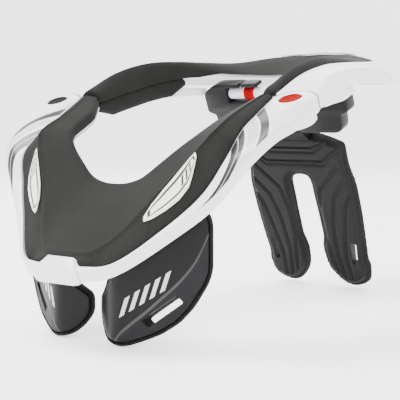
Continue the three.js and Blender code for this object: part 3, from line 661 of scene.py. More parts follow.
def wire_ribs(graph: Graph, given: dict[str, Socket]) -> dict[str, Socket]:
    """Parallel ribs: 0.5 + 0.5 cos(2 pi q / pitch) with q = u + slant v."""
    q = graph.math("MULTIPLY_ADD", given["V"], given["Slant"], given["U"])
    phase = graph.math("MULTIPLY", graph.math("DIVIDE", q, given["Pitch"]), 2 * math.pi)
    wave = graph.math("MULTIPLY_ADD", graph.math("COSINE", phase), 0.5, 0.5)
    return {"Height": wave}


def wire_bars(graph: Graph, given: dict[str, Socket]) -> dict[str, Socket]:
    """A row of slanted bars, a part of each pitch filled, inside a box of u and v."""
    q = graph.math("MULTIPLY_ADD", given["V"], given["Slant"], given["U"])
    along = graph.math("SUBTRACT", q, given["From"])
    share = graph.math("FRACT", graph.math("DIVIDE", along, given["Pitch"]))
    filled = graph.math("LESS_THAN", share, given["Fill"])
    after = graph.math("GREATER_THAN", q, given["From"])
    before = graph.math("LESS_THAN", q, given["To"])
    above = graph.math("GREATER_THAN", given["V"], given["Low"])
    below = graph.math("LESS_THAN", given["V"], given["High"])
    across = graph.math("MULTIPLY", above, below)
    inside = graph.math("MULTIPLY", graph.math("MULTIPLY", after, before), across)
    return {"Mask": graph.math("MULTIPLY", inside, filled)}


class Effects:
    """Shader groups that more than one finish uses, each built once."""

    def __init__(self) -> None:
        """Builds the groups."""
        self.skin = shader_group("fine_skin", {"Vector": "vector", "Scale": 900.0},
                                 ("Height", "Fleck", "Mottle"), wire_skin)
        self.ribs = shader_group("ribs", {"U": 0.0, "V": 0.0, "Pitch": 1.0, "Slant": 0.0},
                                 ("Height",), wire_ribs)
        self.bars = shader_group("bars", {"U": 0.0, "V": 0.0, "From": 0.0, "To": 1.0, "Low": 0.0, "High": 1.0,
                                          "Pitch": 0.2, "Slant": 0.0, "Fill": 0.5}, ("Mask",), wire_bars)


class FinishGraph(Graph):
    """The node tree of one material: its Principled shader, texture places and fine skin."""

    def __init__(self, name: str, effects: Effects, scale: float) -> None:
        """Makes the material.

        Args:
            name: the material's name.
            effects: the shared groups.
            scale: how fine the skin is.
        """
        self.material = bpy.data.materials.new(name)
        self.material.use_nodes = True
        super().__init__(self.material.node_tree)
        self.shader = self.tree.nodes["Principled BSDF"]
        coordinate = self.node("ShaderNodeTexCoord")
        split = self.node("ShaderNodeSeparateXYZ")
        self.tree.links.new(coordinate.outputs["UV"], split.inputs[0])
        self.u, self.v = split.outputs[0], split.outputs[1]
        skin = self.group(effects.skin, Vector=coordinate.outputs["Object"], Scale=scale)
        self.height, self.fleck, self.mottle = (skin.outputs[key] for key in ("Height", "Fleck", "Mottle"))

    def group(self, tree: bpy.types.NodeTree, **values: float | Socket) -> bpy.types.Node:
        """Places a shared group with values of this material's own."""
        made = self.node("ShaderNodeGroup")
        made.node_tree = tree
        for key, value in values.items():
            self.put(value, made.inputs[key])
        return made

    def surface(self, colour: Socket, variation: float, roughness: float | Socket) -> None:
        """Feeds the base colour, and a roughness that the skin's mottle varies."""
        rough = self.math("MULTIPLY_ADD", self.mottle, variation, roughness)
        self.put(colour, self.shader.inputs["Base Color"])
        self.put(rough, self.shader.inputs["Roughness"])

    def bump(self, height: Socket, distance: float, strength: float = 0.5) -> None:
        """Feeds a height in metres times distance to the shader's normal."""
        made = self.node("ShaderNodeBump")
        made.inputs["Strength"].default_value = strength
        made.inputs["Distance"].default_value = distance
        self.put(height, made.inputs["Height"])
        self.tree.links.new(made.outputs[0], self.shader.inputs["Normal"])

    def set(self, **values: float) -> None:
        """Writes plain numbers on the shader's own sockets."""
        for key, value in values.items():
            self.shader.inputs[key.replace("_", " ").title().replace("Ior", "IOR")].default_value = value


@dataclass(frozen=True)
class Finish:
    """A finished material and the record's slot that it belongs to."""

    material: bpy.types.Material
    slot: Slot


@dataclass(frozen=True)
class MouldedFinish:
    """Moulded plastic with a fine skin.

    Fields are the slot, the display colour, a second colour that the flecks lean to, the
    roughness and how far it varies, the skin's scale and depth in metres, the clear coat and
    the specular level.
    """

    name: str
    slot: Slot
    colour: Colour
    fleck: Colour
    roughness: float
    variation: float = 0.08
    scale: float = 900.0
    depth: float = 0.00004
    coat: float = 0.0
    specular: float = 0.5

    def build(self, effects: Effects) -> Finish:
        """Makes the material: the colour leans to the fleck where the skin has flecks."""
        graph = FinishGraph(self.name, effects, self.scale)
        colour = graph.mix(graph.fleck, linear(self.colour), linear(self.fleck))
        graph.surface(colour, self.variation, self.roughness - self.variation / 2)
        graph.bump(graph.height, self.depth)
        graph.set(coat_weight=self.coat, coat_roughness=0.12, specular_ior_level=self.specular)
        return Finish(graph.material, self.slot)


@dataclass(frozen=True)
class ShellFinish:
    """Glossy white shell with plain swept stripes printed at each shoulder.

    The texture place is the station along the collar and the share from pad border to rim.
    A stripe is its start, its end and its colour; low and high bound all of them across.
    """

    name: str
    stripes: tuple[tuple[float, float, Colour], ...] = ()
    slant: float = 1.1
    curve: float = 0.7
    low: float = 0.03
    high: float = 0.93
    slot: Slot = Slot.SHELL
    colour: Colour = (226.0, 226.0, 230.0)
    roughness: float = 0.3

    def build(self, effects: Effects) -> Finish:
        """Makes the material: stripes are bands of q = |u| + slant v + curve v squared."""
        graph = FinishGraph(self.name, effects, 260.0)
        shade = linear([c - 10 for c in self.colour])
        colour = graph.mix(graph.math("MULTIPLY", graph.mottle, 0.25), linear(self.colour), shade)
        station = graph.math("ABSOLUTE", graph.u)
        square = graph.math("MULTIPLY", graph.v, graph.v)
        curved = graph.math("MULTIPLY_ADD", square, self.curve, station)
        q = graph.math("MULTIPLY_ADD", graph.v, self.slant, curved)
        inside = graph.within(graph.v, self.low, self.high)
        for start, end, stripe in self.stripes:
            mask = graph.math("MULTIPLY", graph.within(q, start, end, 0.006), inside)
            colour = graph.mix(mask, colour, linear(stripe))
        graph.surface(colour, 0.1, self.roughness - 0.05)
        graph.bump(graph.height, 0.00001, 0.25)
        graph.set(coat_weight=0.12, coat_roughness=0.1, specular_ior_level=0.35)
        return Finish(graph.material, self.slot)


@dataclass(frozen=True)
class FoamFinish:
    """Matte charcoal foam with a fleck, and fine ribs where the texture place asks for them.

    The texture place is a length along the pad and the share across it; ribs lie between
    two shares.
    """

    name: str
    colour: Colour = (24.0, 24.0, 23.0)
    fleck: Colour = (34.0, 34.0, 32.0)
    ribs: tuple[float, float] = (2.0, 3.0)
    pitch: float = 2.6
    slant: float = 14.0
    slot: Slot = Slot.FOAM

    def build(self, effects: Effects) -> Finish:
        """Makes the material: the skin's height plus ribs masked to their strip, with a painted highlight, a
        lighter colour, on the rib crests.
        """
        graph = FinishGraph(self.name, effects, 1100.0)
        ribs = graph.group(effects.ribs, U=graph.u, V=graph.v, Pitch=self.pitch, Slant=self.slant)
        strip = graph.within(graph.v, *self.ribs, 0.015)
        ribbed = graph.math("MULTIPLY", ribs.outputs["Height"], strip)
        # crest is a painted highlight: the foam's colour lightened where the ribs rise
        darker, lighter, crest = (linear([c + k for c in self.colour]) for k in (-5, 5, 9))
        mottled = graph.mix(graph.mottle, darker, lighter)
        colour = graph.mix(graph.math("MULTIPLY", graph.fleck, 0.5), mottled, linear(self.fleck))
        graph.surface(graph.mix(graph.math("MULTIPLY", ribbed, 0.35), colour, crest), 0.12, 0.72)
        graph.bump(graph.math("MULTIPLY_ADD", graph.height, 0.25, ribbed), 0.00025, 0.6)
        graph.set(sheen_weight=0.01, sheen_roughness=0.5, specular_ior_level=0.1)
        return Finish(graph.material, self.slot)


@dataclass(frozen=True)
class InsertFinish:
    """Cream satin plate with a thin dark line inside its border and plain bars towards one end.

    The texture place runs from 0 to 1 along the plate and from 0 to 1 across it.
    """

    name: str
    bars: tuple[float, float] = (0.66, 0.9)
    slant: float = 0.1
    slot: Slot = Slot.INSERT

    def build(self, effects: Effects) -> Finish:
        """Makes the material: an outline where the nearer edge is 0.2 away, and bars."""
        graph = FinishGraph(self.name, effects, 500.0)
        cream = graph.mix(graph.mottle, linear((228, 228, 212)), linear((238, 238, 224)))
        near_u, near_v = (graph.math("MINIMUM", place, graph.math("SUBTRACT", 1.0, place))
                          for place in (graph.u, graph.v))
        edge = graph.math("MINIMUM", graph.math("MULTIPLY", near_u, 3.0), near_v)
        colour = graph.mix(graph.within(edge, 0.15, 0.27, 0.015), cream, linear((22, 21, 19)))
        bars = graph.group(effects.bars, U=graph.u, V=graph.v, From=self.bars[0], To=self.bars[1],
                           Low=0.3, High=0.7, Pitch=0.09, Slant=self.slant, Fill=0.45)
        colour = graph.mix(bars.outputs["Mask"], colour, linear((26, 26, 25)))
        graph.surface(colour, 0.1, 0.38)
        graph.bump(graph.height, 0.00002, 0.3)
        return Finish(graph.material, self.slot)


@dataclass(frozen=True)
class CoverFinish:
    """Near-black satin cover: a gloss upper field painted darker as painted shadow under the rim, a lower
    field painted paler as painted light where it faces up, a double printed line between them and a row of
    plain printed bars.

    The texture place is the length along the pad and the height above its foot, as shares of
    100 mm.
    """

    name: str
    slot: Slot = Slot.COVER
    # upper is painted shadow under the rim, lower is painted light on the field that faces up; the upper
    # field's gloss is its roughness
    upper: Colour = (6.0, 6.0, 7.0)
    lower: Colour = (22.0, 22.0, 24.0)
    print_grey: Colour = (190.0, 190.0, 192.0)

    def build(self, effects: Effects) -> Finish:
        """Makes the material: fields by the sign of v minus the line's height at u; the upper field's darker
        colour is painted shade and the lower field's paler colour is painted light.
        """
        graph = FinishGraph(self.name, effects, 1500.0)
        curve = graph.node("ShaderNodeFloatCurve")
        points = curve.mapping.curves[0].points
        while len(points) < len(COVER_LINE):
            points.new(0.5, 0.5)
        for point, place in zip(points, COVER_LINE):
            point.location = place
            point.handle_type = "AUTO"
        curve.mapping.update()
        graph.put(graph.u, curve.inputs["Value"])
        above = graph.math("SUBTRACT", graph.v, curve.outputs[0])
        upper = graph.step(above, -0.004, 0.004)
        lower = graph.mix(graph.mottle, linear(self.lower), linear([c - 6 for c in self.lower]))
        # painted shade on the upper field and painted light on the lower field, split at the printed line
        colour = graph.mix(upper, lower, linear(self.upper))
        first, second = (graph.within(above, *band, 0.003) for band in ((-0.016, -0.007), (0.0, 0.007)))
        shown = graph.math("MULTIPLY", graph.math("ADD", first, second), graph.step(graph.u, 0.26, 0.3))
        colour = graph.mix(graph.math("MULTIPLY", shown, 0.75), colour, linear((84, 84, 86)))
        rising = graph.math("SUBTRACT", graph.v, graph.math("MULTIPLY", graph.u, 0.62))
        bars = graph.group(effects.bars, U=graph.u, V=rising, From=0.34, To=0.74, Low=0.015,
                           High=0.135, Pitch=0.08, Slant=-0.4, Fill=0.5)
        colour = graph.mix(bars.outputs["Mask"], colour, linear(self.print_grey))
        graph.surface(colour, 0.08, graph.math("MULTIPLY_ADD", upper, -0.16, 0.5))
        graph.bump(graph.height, 0.00006, 0.5)
        graph.set(sheen_weight=0.01, sheen_roughness=0.4, specular_ior_level=0.16)
        return Finish(graph.material, self.slot)


class Finishes:
    """Every finish of the brace, built once."""

    def __init__(self) -> None:
        """Builds the materials."""
        black, grey, pale = (15.0, 15.0, 16.0), (196.0, 199.0, 188.0), (170.0, 170.0, 172.0)
        stripes = ((5.30, 6.05, black), (5.66, 5.72, pale), (6.20, 6.80, grey), (6.92, 7.40, black))
        table = {
            "front_shell": ShellFinish("front shell, printed stripes", stripes),
            "shell": ShellFinish("shell white"),
            "tab": MouldedFinish("tab white", Slot.SHELL, (226, 226, 232), (220, 220, 226), 0.3,
                                 depth=0.00001, coat=0.3),
            "front_foam": FoamFinish("foam, ribbed side facets", ribs=(0.70, 0.9)),
            "foam": FoamFinish("foam charcoal"),
            "pad_foam": FoamFinish("foam of the hanging pads", (16, 16, 16), (24, 24, 23)),
            "insert": InsertFinish("insert cream"),
            "rear_insert": InsertFinish("rear insert cream", bars=(0.1, 0.3)),
            "cover": CoverFinish("chest cover"),
            "wing": MouldedFinish("wing plastic", Slot.PLASTIC, (12, 12, 13), (19, 19, 20), 0.5,
                                  scale=700.0, specular=0.14),
            "hard": MouldedFinish("carrier plastic", Slot.PLASTIC, (12, 12, 13), (17, 17, 18), 0.42,
                                  scale=800.0, specular=0.16),
            "red": MouldedFinish("button red", Slot.BUTTON, (138, 2, 9), (124, 1, 7), 0.6,
                                 scale=500.0, specular=0.01),
            "dark": MouldedFinish("button dark", Slot.PLASTIC, (18, 18, 20), (14, 14, 15), 0.6,
                                  scale=500.0, specular=0.03),
            "spindle": MouldedFinish("spindle lavender", Slot.SPINDLE, (218, 218, 229),
                                     (206, 206, 219), 0.35, depth=0.00001),
        }
        effects = Effects()
        self.made = {key: finish.build(effects) for key, finish in table.items()}

    def __getitem__(self, key: str) -> Finish:
        """The finish of a name."""
        return self.made[key]


def dress(piece: Piece, finish: Finish, body: str, replaces: Sequence[str] = ()) -> None:
    """Gives a piece its finish's material, hangs it on its body and hides the solids that it stands for.

    Args:
        piece: the piece.
        finish: its material and slot.
        body: the body that it moves with.
        replaces: solids that it stands for.
    """
    piece.data.materials.clear()
    piece.data.materials.append(finish.material)
    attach(piece, body)
    if replaces:
        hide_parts(*replaces)
    log.info("%s: %d faces on %s", piece.name, len(piece.data.polygons), body)


def inlay(name: str, stations: Grid, rows: Grid, top: Callable[[Grid, Grid], Grid],
          border: Sequence[float], sunk: float, ends: float = 0.0) -> Piece:
    """A thin plate let into a pad, with a raised border round a sunk face.

    Args:
        name: the piece's name.
        stations: stations along the plate.
        rows: table of station, inner edge and outer edge, the edges as shares across the pad.
        top: the pad's top at stations and shares.
        border: shares across the plate where the border is full, falls and has fallen.
        sunk: height of the sunk face over the pad in millimetres.
        ends: part of the length, at each end, where the face is less sunk.
    Returns:
        A closed mesh object.
    """
    inner, outer = (np.interp(np.abs(stations), rows[:, 0], rows[:, k]) for k in (1, 2))
    side = [0.0, 0.0, *border]
    across = [*side, 0.5, *(1 - share for share in side[::-1])]
    rise = [0.7, 2.0, 2.3, 2.3, sunk, sunk, sunk, 2.3, 2.3, 2.0, 0.7]
    along = (stations - stations[0]) / (stations[-1] - stations[0])
    near = (np.minimum(along, 1 - along) < ends)[:, None]
    columns = []
    for share, height in zip(across, rise):
        points = top(stations, inner + (outer - inner) * share)
        points[:, 2:3] += np.where(near & (height == sunk), 2.0, height)
        columns.append(with_uv(points, along, share))
    return smooth(sweep(name, np.stack(columns, axis=1)), 50)


@dataclass
class FrontCollar:
    """The front half: shell with two lobes, foam bib, nose tab, inserts and buttons."""

    neck: tuple = ((0.0, -0.41, 0.455), (0.095, -0.405, 0.47), (0.18, -0.385, 0.52), (0.285, -0.33, 0.655),
                   (0.385, -0.265, 0.785), (0.46, -0.18, 0.87), (0.485, -0.035, 0.895), (0.505, 0.06, 0.905),
                   (0.605, 0.225, 0.96))
    edge: tuple = ((0.0, -0.955, 0.06), (0.18, -0.945, 0.045), (0.305, -0.895, 0.035), (0.505, -0.67, 0.235),
                   (0.65, -0.485, 0.47), (0.725, -0.345, 0.735), (0.705, -0.13, 0.88), (0.708, 0.015, 0.93),
                   (0.712, 0.19, 0.98))
    rim: tuple = ((0.0, -1.0, 0.0), (0.17, -0.99, 0.0), (0.32, -0.917, 0.01), (0.55, -0.688, 0.21),
                  (0.74, -0.507, 0.45), (0.885, -0.34, 0.775), (0.94, -0.17, 0.88), (0.985, -0.055, 0.905),
                  (1.0, 0.135, 0.935))
    crown: tuple = (0.15, 0.2, 0.35, 0.65, 1.0, 0.85, 0.5, 0.35, 0.2)
    dome: tuple = (0.0, 0.0, 0.0, 0.0, 0.2, 0.4, 0.7, 0.9, 1.0)
    insert_rows: tuple = ((2.62, 0.765, 0.80), (2.80, 0.70, 0.84), (3.10, 0.66, 0.87), (3.45, 0.64, 0.88),
                          (3.75, 0.63, 0.85), (4.10, 0.63, 0.72), (4.25, 0.63, 0.66))
    ridge_stations: tuple = (0.0, 0.9, 1.7, 2.5, 3.2, 8.0)
    ridge_shares: tuple = (0.9, 0.88, 0.78, 0.66, 0.6, 0.6)
    rails: dict = field(init=False)

    def __post_init__(self) -> None:
        """Lays out the rails."""
        self.rails = {key: Rail(getattr(self, key), FRONT_REACH) for key in ("neck", "edge", "rim")}

    def pad_top(self, station: Grid, share: float | Grid) -> Grid:
        """Top of the pad: a straight line from neck to border, raised by a tent of height crown.

        Args:
            station: stations, one per point.
            share: place between neck and border, one for all points or one each.
        Returns:
            One row of x, y, z for each station.
        """
        neck, edge = self.rails["neck"].at(station), self.rails["edge"].at(station)
        share = np.broadcast_to(share, len(station))[:, None]
        tent = np.where(share < RIDGE_SHARE, share / RIDGE_SHARE, (1 - share) / (1 - RIDGE_SHARE))
        points = neck + (edge - neck) * share
        points[:, 2:3] += column(self.crown, station) * PAD_CROWN * tent
        return points

    def shell(self) -> Piece:
        """The white shell: a band swept along the rim, joined with the lobes, then cut.

        Returns:
            A closed mesh object with two button wells and a pocket for the nose tab.
        """
        s = np.linspace(-8, 8, 209)
        neck, edge, rim = (self.rails[key].at(s) for key in ("neck", "edge", "rim"))
        out = outward(neck, rim)
        lip, depth = PAD_THICKNESS + PAD_BED, PAD_EDGE + 0.5 + PAD_BED
        under, foot = -lip - SHELL_WALL, -depth - SHELL_WALL
        middle = (edge + rim) / 2
        middle[:, 2:3] += column(self.dome, s) * LOBE_DOME

        def at(share: float, up: float) -> Grid:
            """Points under the pad's top."""
            return shifted(self.pad_top(s, share), 0, up, out)

        ring = [(at(0.1, -lip), -1, 1), (at(0.3, -lip), -1, 0), (at(0.6, -lip), -1, 0),
                (at(0.93, -depth), -0.1, 0.5), (shifted(edge, PAD_BED, -depth, out), -0.02, 0.5),
                (shifted(edge, PAD_BED, -1, out), 0, 0.8), (middle, 0.5, 9),
                (shifted(edge + (rim - edge) * 0.88, 0, 0.2, out), 0.88, 4),
                (shifted(rim, 0, -RIM_ROUND, out), 1.0, 3), (shifted(rim, 0, -RIM_DEPTH, out), 1.4, 1.3),
                (shifted(rim, -SHELL_WALL, -RIM_DEPTH, out), 1.6, 1.3),
                (shifted(rim, -SHELL_WALL, foot, out), 1.8, 2), (shifted(edge, 0, foot, out), 2, 2),
                (at(0.93, foot), 2, 0), (at(0.6, under), 2, 0), (at(0.3, under), 2, 0),
                (at(0.1, under), 2, 1)]
        piece = sweep("front_shell_skin", profiled(ring, s))
        lobe, well = self.lobe(), self.well()
        combine(piece, [lobe, mirrored(lobe, "lobe_right")], "UNION")
        combine(piece, [well, mirrored(well, "well_right"), self.tab_form(CLEARANCE)], "DIFFERENCE")
        return smooth(piece, 32)

    @staticmethod
    def lobe() -> Piece:
        """The left shoulder lobe: a thick disc whose top falls away to its side."""
        r, top, bottom = LOBE_RADIUS, LOBE_TOP, LOBE_TOP - LOBE_THICKNESS
        fall = ((1, 5.2), (0.985, 4.2), (0.94, 3.1), (0.86, 1.9), (0.74, 0.9), (0.6, 0.3), (0, 0))
        profile = [(0, bottom), (r - 1, bottom), (r - 0.3, bottom + 0.3), (r, bottom + 1)]
        return lathe("lobe", profile + [(r * share, top - down) for share, down in fall], PIVOT)

    @staticmethod
    def well() -> Piece:
        """The hole that the left button travels in, with a bevelled mouth."""
        low, top = LOBE_TOP - BUTTON_THICKNESS - BUTTON_TRAVEL - CLEARANCE, LOBE_TOP
        r, mouth = BUTTON_RADIUS + CLEARANCE, BUTTON_RADIUS + CLEARANCE + 0.8
        profile = [(0, low), (r, low), (r, top - 0.8), (mouth, top + 0.4), (mouth, top + 5), (0, top + 5)]
        return lathe("well", profile, PIVOT, 64)

    def pad(self) -> Piece:
        """The foam bib: its top runs flat to a ridge and then down a side facet to the border.

        Returns:
            A closed mesh object, cut out for the nose tab.
        """
        s = np.linspace(-8, 8, 261)
        out = outward(self.rails["neck"].at(s), self.rails["rim"].at(s))
        length = run_length(self.rails["edge"].at(s))
        length -= length[-1] / 2
        t = PAD_THICKNESS
        ridge = np.interp(np.abs(s), self.ridge_stations, self.ridge_shares)
        ring = [(0, 0, -PAD_NECK_FACE, 1.5), (0, 0.05, 0, 4), (0.3, 0.3, 0, 0),
                (ridge - 0.04, 0.55, 0, 1.5), (ridge, 0.6, 0.9, 0.9), (ridge + 0.04, 0.65, -0.2, 1.5),
                ((ridge + 1) / 2, 0.8, 0, 0), (0.985, 0.965, -0.3, 1.5), (1, 1, -1.6, 1.2),
                (1, 1, -PAD_EDGE, 0.5), (0.93, 1, -PAD_EDGE - 0.5, 1), (0.6, 1, -t, 2), (0.3, 1, -t, 0),
                (0.07, 1, -t, 1.5)]
        corners = [(shifted(self.pad_top(s, share), 0, up, out), v, radius) for share, v, up, radius in ring]
        piece = sweep("front_pad_foam", self.scooped(profiled(corners, length, 2.2)))
        combine(piece, [self.tab_form(CLEARANCE)], "DIFFERENCE")
        return smooth(piece, 40)

    @staticmethod
    def scooped(rings: Grid) -> Grid:
        """Sinks two hollows into the pad's top, one on each side of the nose tab.

        Near a hollow's middle z falls by 2.6 exp(-(dx / 8)^2 - (dy / 8)^2) mm.

        Args:
            rings: the pad's rings; the texture share tells which corners are on the top.
        Returns:
            A changed copy.
        """
        result = rings.copy()
        across, back = np.abs(rings[..., 0]) - 33.0, rings[..., 1] + FRONT_REACH - 13.0
        top = (rings[..., 4] > 0.3) & (rings[..., 4] < 0.99)
        result[..., 2] -= np.where(top, 2.6 * np.exp(-(across / 8.0) ** 2 - (back / 8.0) ** 2), 0.0)
        return result

    def tab_form(self, grow: float = 0.0) -> Piece:
        """The nose tab as five level rings, wide below and narrow above.

        Args:
            grow: clearance that it is grown by on every side, in millimetres.
        Returns:
            A closed mesh object with sharp edges.
        """
        y, back = -FRONT_REACH, 11.0
        low = NOSE_HEIGHT - RIM_DEPTH - 1.5 - grow
        high = low + 17.0 + 2 * grow
        wide, narrow = 23.0 + grow, 13.0 + grow
        inner, bow = y + back + grow, y - 2.5 - grow

        def ring(z: float, half: float, outer: float) -> list[tuple[float, float, float]]:
            """One level ring with its two front corners cut."""
            return [(-half, inner, z), (half, inner, z), (half, outer + 2, z), (half - 4, outer, z),
                    (-half + 4, outer, z), (-half, outer + 2, z)]

        grid = np.zeros((5, 6, 5))
        grid[:, :, :3] = [ring(low, wide - 1, bow + 1), ring(low + 2, wide, bow), ring(low + 10.2, wide, bow),
                          ring(high - 1.5, narrow + 2, y + back * 0.5 - grow),
                          ring(high, narrow, y + back * 0.75 - grow)]
        return sweep("nose_tab_form", grid)

    def tab(self) -> Piece:
        """The nose tab with its edges rounded."""
        piece = self.tab_form()
        piece.name = "nose_tab_cover"
        bevelled(piece, 1.6, 4, 20)
        return smooth(piece, 45)

    def insert(self) -> Piece:
        """A cream blade on the pad's left side facet."""
        rows = np.array(self.insert_rows)
        s = np.linspace(rows[0, 0], rows[-1, 0], 70)
        return inlay("front_insert_blade_left", s, rows, self.pad_top, (0.03, 0.12, 0.16), 1.8, 0.06)

    def button(self) -> Piece:
        """The left press button: a rounded disc with a shallow dish and a ring inside it."""
        r, top = BUTTON_RADIUS, LOBE_TOP
        profile = [(0, top - BUTTON_THICKNESS), (r, top - BUTTON_THICKNESS), (r, top - 0.9),
                   (r - 0.3, top - 0.3), (r - 0.9, top), (r - 1.6, top - 0.05), (r - 2.0, top - 0.35),
                   (r - 5.0, top - 0.7), (0, top - 0.8)]
        return smooth(lathe("button_cap_left", profile, PIVOT, 72), 40)

    def build(self, finishes: Finishes) -> None:
        """Builds and dresses the front half.

        Args:
            finishes: the finishes to dress it in.
        """
        dress(self.shell(), finishes["front_shell"], "front", ["front_shell"])
        dress(self.pad(), finishes["front_foam"], "front", ["front_pad"])
        dress(self.tab(), finishes["tab"], "front", ["nose_tab"])
        blade, button = self.insert(), self.button()
        dress(blade, finishes["insert"], "front", ["front_insert_left"])
        dress(button, finishes["red"], "button_left", ["button_left"])
        other = mirrored(blade, "front_insert_blade_right")
        dress(other, finishes["insert"], "front", ["front_insert_right"])
        dress(mirrored(button, "button_cap_right"), finishes["dark"], "button_right", ["button_right"])


@dataclass
class RearCollar:
    """The rear half: shell with fin, skirt, seats and lower arms, foam ring, insert and shoulder pads."""

    neck: tuple = ((0, 0.7, 0.215), (0.15, 0.68, 0.25), (0.3, 0.63, 0.355), (0.43, 0.57, 0.485),
                   (0.54, 0.495, 0.605), (0.595, 0.38, 0.73), (0.605, 0.24, 0.84), (0.605, 0.12, 0.925))
    crest: tuple = ((0, 0.865, 0.225), (0.275, 0.83, 0.28), (0.415, 0.7, 0.42), (0.515, 0.6, 0.6),
                    (0.585, 0.5, 0.79), (0.63, 0.39, 0.96), (0.655, 0.255, 1.06), (0.66, 0.12, 1.04))
    edge: tuple = ((0, 0.915, 0.15), (0.385, 0.885, 0.11), (0.525, 0.75, 0.305), (0.6, 0.625, 0.51),
                   (0.66, 0.51, 0.695), (0.69, 0.38, 0.885), (0.708, 0.24, 1.0), (0.715, 0.104, 1.0))
    fin: tuple = ((0, 0.955, -0.04), (0.44, 0.935, -0.15), (0.6, 0.775, 0.085), (0.695, 0.645, 0.37),
                  (0.78, 0.51, 0.605), (0.85, 0.37, 0.815), (0.91, 0.24, 0.955), (1.0, 0.075, 0.935))
    skirt: tuple = ((0, 1.0, -0.47), (0.43, 0.985, -0.45), (0.585, 0.82, -0.15), (0.685, 0.675, 0.12),
                    (0.775, 0.545, 0.34), (0.845, 0.39, 0.575), (0.925, 0.23, 0.75), (1.0, 0.075, 0.81))
    dome: tuple = (0.0, 0.2, 0.5, 0.8, 1.0, 0.6, 0.5, 1.0)
    arm: tuple = ((0.965, 0.145, 0.74, 0.86), (0.905, 0.22, 0.63, 0.87), (0.82, 0.352, 0.44, 0.69),
                  (0.7, 0.49, 0.27, 0.42), (0.578, 0.605, 0.09, 0.2))
    insert_rows: tuple = ((0.0, 0.15, 0.65), (0.35, 0.15, 0.65), (0.65, 0.25, 0.65), (0.85, 0.45, 0.62))
    rails: dict = field(init=False)

    def __post_init__(self) -> None:
        """Lays out the rails."""
        keys = ("neck", "crest", "edge", "fin", "skirt")
        self.rails = {key: Rail(getattr(self, key), REAR_REACH) for key in keys}

    def shell(self) -> Piece:
        """The white shell: fin and skirt swept round the back, cut for the lobes, with its parts.

        Returns:
            One object that holds the swept shell and, on each side, seat, bar, riser and arm.
        """
        s = np.linspace(-7, 7, 241)
        neck, edge, fin, skirt = (self.rails[key].at(s) for key in ("neck", "edge", "fin", "skirt"))
        out, wall = outward(neck, fin), SHELL_WALL
        seat_outer = shifted(edge, PAD_BED, -PAD_EDGE - PAD_BED, out)
        seat_inner = shifted(neck, 2 + PAD_BED, -PAD_BED, out)
        seat_mid = (seat_inner + seat_outer) / 2
        middle = edge + (fin - edge) * 0.45
        middle[:, 2:3] -= column(self.dome, s) * LOBE_DOME * 0.5
        ring = [(seat_inner, -1, 1), (seat_mid, -1, 0), (seat_outer, -0.1, 0.5),
                (shifted(edge, PAD_BED, -1, out), 0, 0.8), (middle, 0.5, 7),
                (shifted(edge + (fin - edge) * 0.9, 0, 0.3, out), 0.9, 3),
                (shifted(fin, 0, -RIM_ROUND, out), 1, 2.4), (skirt, 1.6, 1.3),
                (shifted(skirt, -wall, 0, out), 1.8, 1.3), (shifted(fin, -wall, -wall - 2, out), 1.9, 3),
                (shifted(middle, 0, -wall - 1, out), 2, 3), (shifted(seat_outer, 0, -wall, out), 2, 1),
                (shifted(seat_mid, 0, -wall, out), 2, 0), (shifted(seat_inner, 0, -wall, out), 2, 1)]
        piece = sweep("rear_shell_skin", profiled(ring, s + 20))
        seat_top, r, high = LOBE_TOP - LOBE_THICKNESS - CLEARANCE, LOBE_RADIUS + 0.7, LOBE_TOP + 10
        pocket = lathe("pocket", [(0, seat_top + 0.2), (r, seat_top + 0.2), (r, high), (0, high)], PIVOT)
        flank = [block("flank", (-r, -2 * r, LOBE_TOP - 24), (0, 0, high), -5.0 * k, (-PIVOT[0], PIVOT[1]))
                 for k in range(7)]
        combine(piece, [pocket, mirrored(pocket, "pocket_right"), *flank], "DIFFERENCE")
        parts = [*self.seat(seat_top), self.lower_arm()]
        parts += [mirrored(part, f"{part.name}_right") for part in parts]
        return joined("rear_shell_skin", [smooth(piece, 32), *(smooth(part, 40) for part in parts)])

    @staticmethod
    def seat(top: float) -> list[Piece]:
        """The left shoulder's seat disc, the bar behind it and the riser at the bar's end.

        Args:
            top: height of the seat's face in worn millimetres.
        Returns:
            Three closed mesh objects.
        """
        low, x, y = top - 7, *PIVOT
        profile = [(0, low), (16, low), (17, low + 1), (17, top - 0.5), (16.5, top), (0, top)]
        disc = lathe("seat", profile, PIVOT, 72)
        bar = block("bar", (x - 13, y, low), (x + 7, y + 42, top))
        riser = block("riser", (x - 13, y + LOBE_RADIUS + 4, low), (x + 7, y + 42, LOBE_TOP - 5))
        for part in (bar, riser):
            bevelled(part, 1.0, 2)
        return [disc, bar, riser]

    def lower_arm(self) -> Piece:
        """The lower arm: an upright strap, 4 mm thick, from the shoulder back and inwards.

        Returns:
            A closed mesh object.
        """
        table, window = np.array(self.arm), 9
        t = np.linspace(0, len(table) - 1, 60)
        lines = (np.interp(t, np.arange(len(table)), table[:, k]) for k in range(4))
        across, back, low, high = (np.convolve(np.pad(line, window // 2, mode="edge"),
                                               np.ones(window) / window, "valid") for line in lines)
        outer = np.stack([across * HALF_WIDTH, back * REAR_REACH, NOSE_HEIGHT + low * SHOULDER_RISE], axis=1)
        along = np.gradient(outer, axis=0)
        out = np.stack([along[:, 1], -along[:, 0], 0 * along[:, 0]], axis=1)
        out /= np.linalg.norm(out, axis=1, keepdims=True)
        top = outer.copy()
        top[:, 2] = NOSE_HEIGHT + high * SHOULDER_RISE
        ring = [(points, 2.0, 1.4) for points in (outer, top, top - out * 4, outer - out * 4)]
        return sweep("lower_arm", profiled(ring, t + 20))

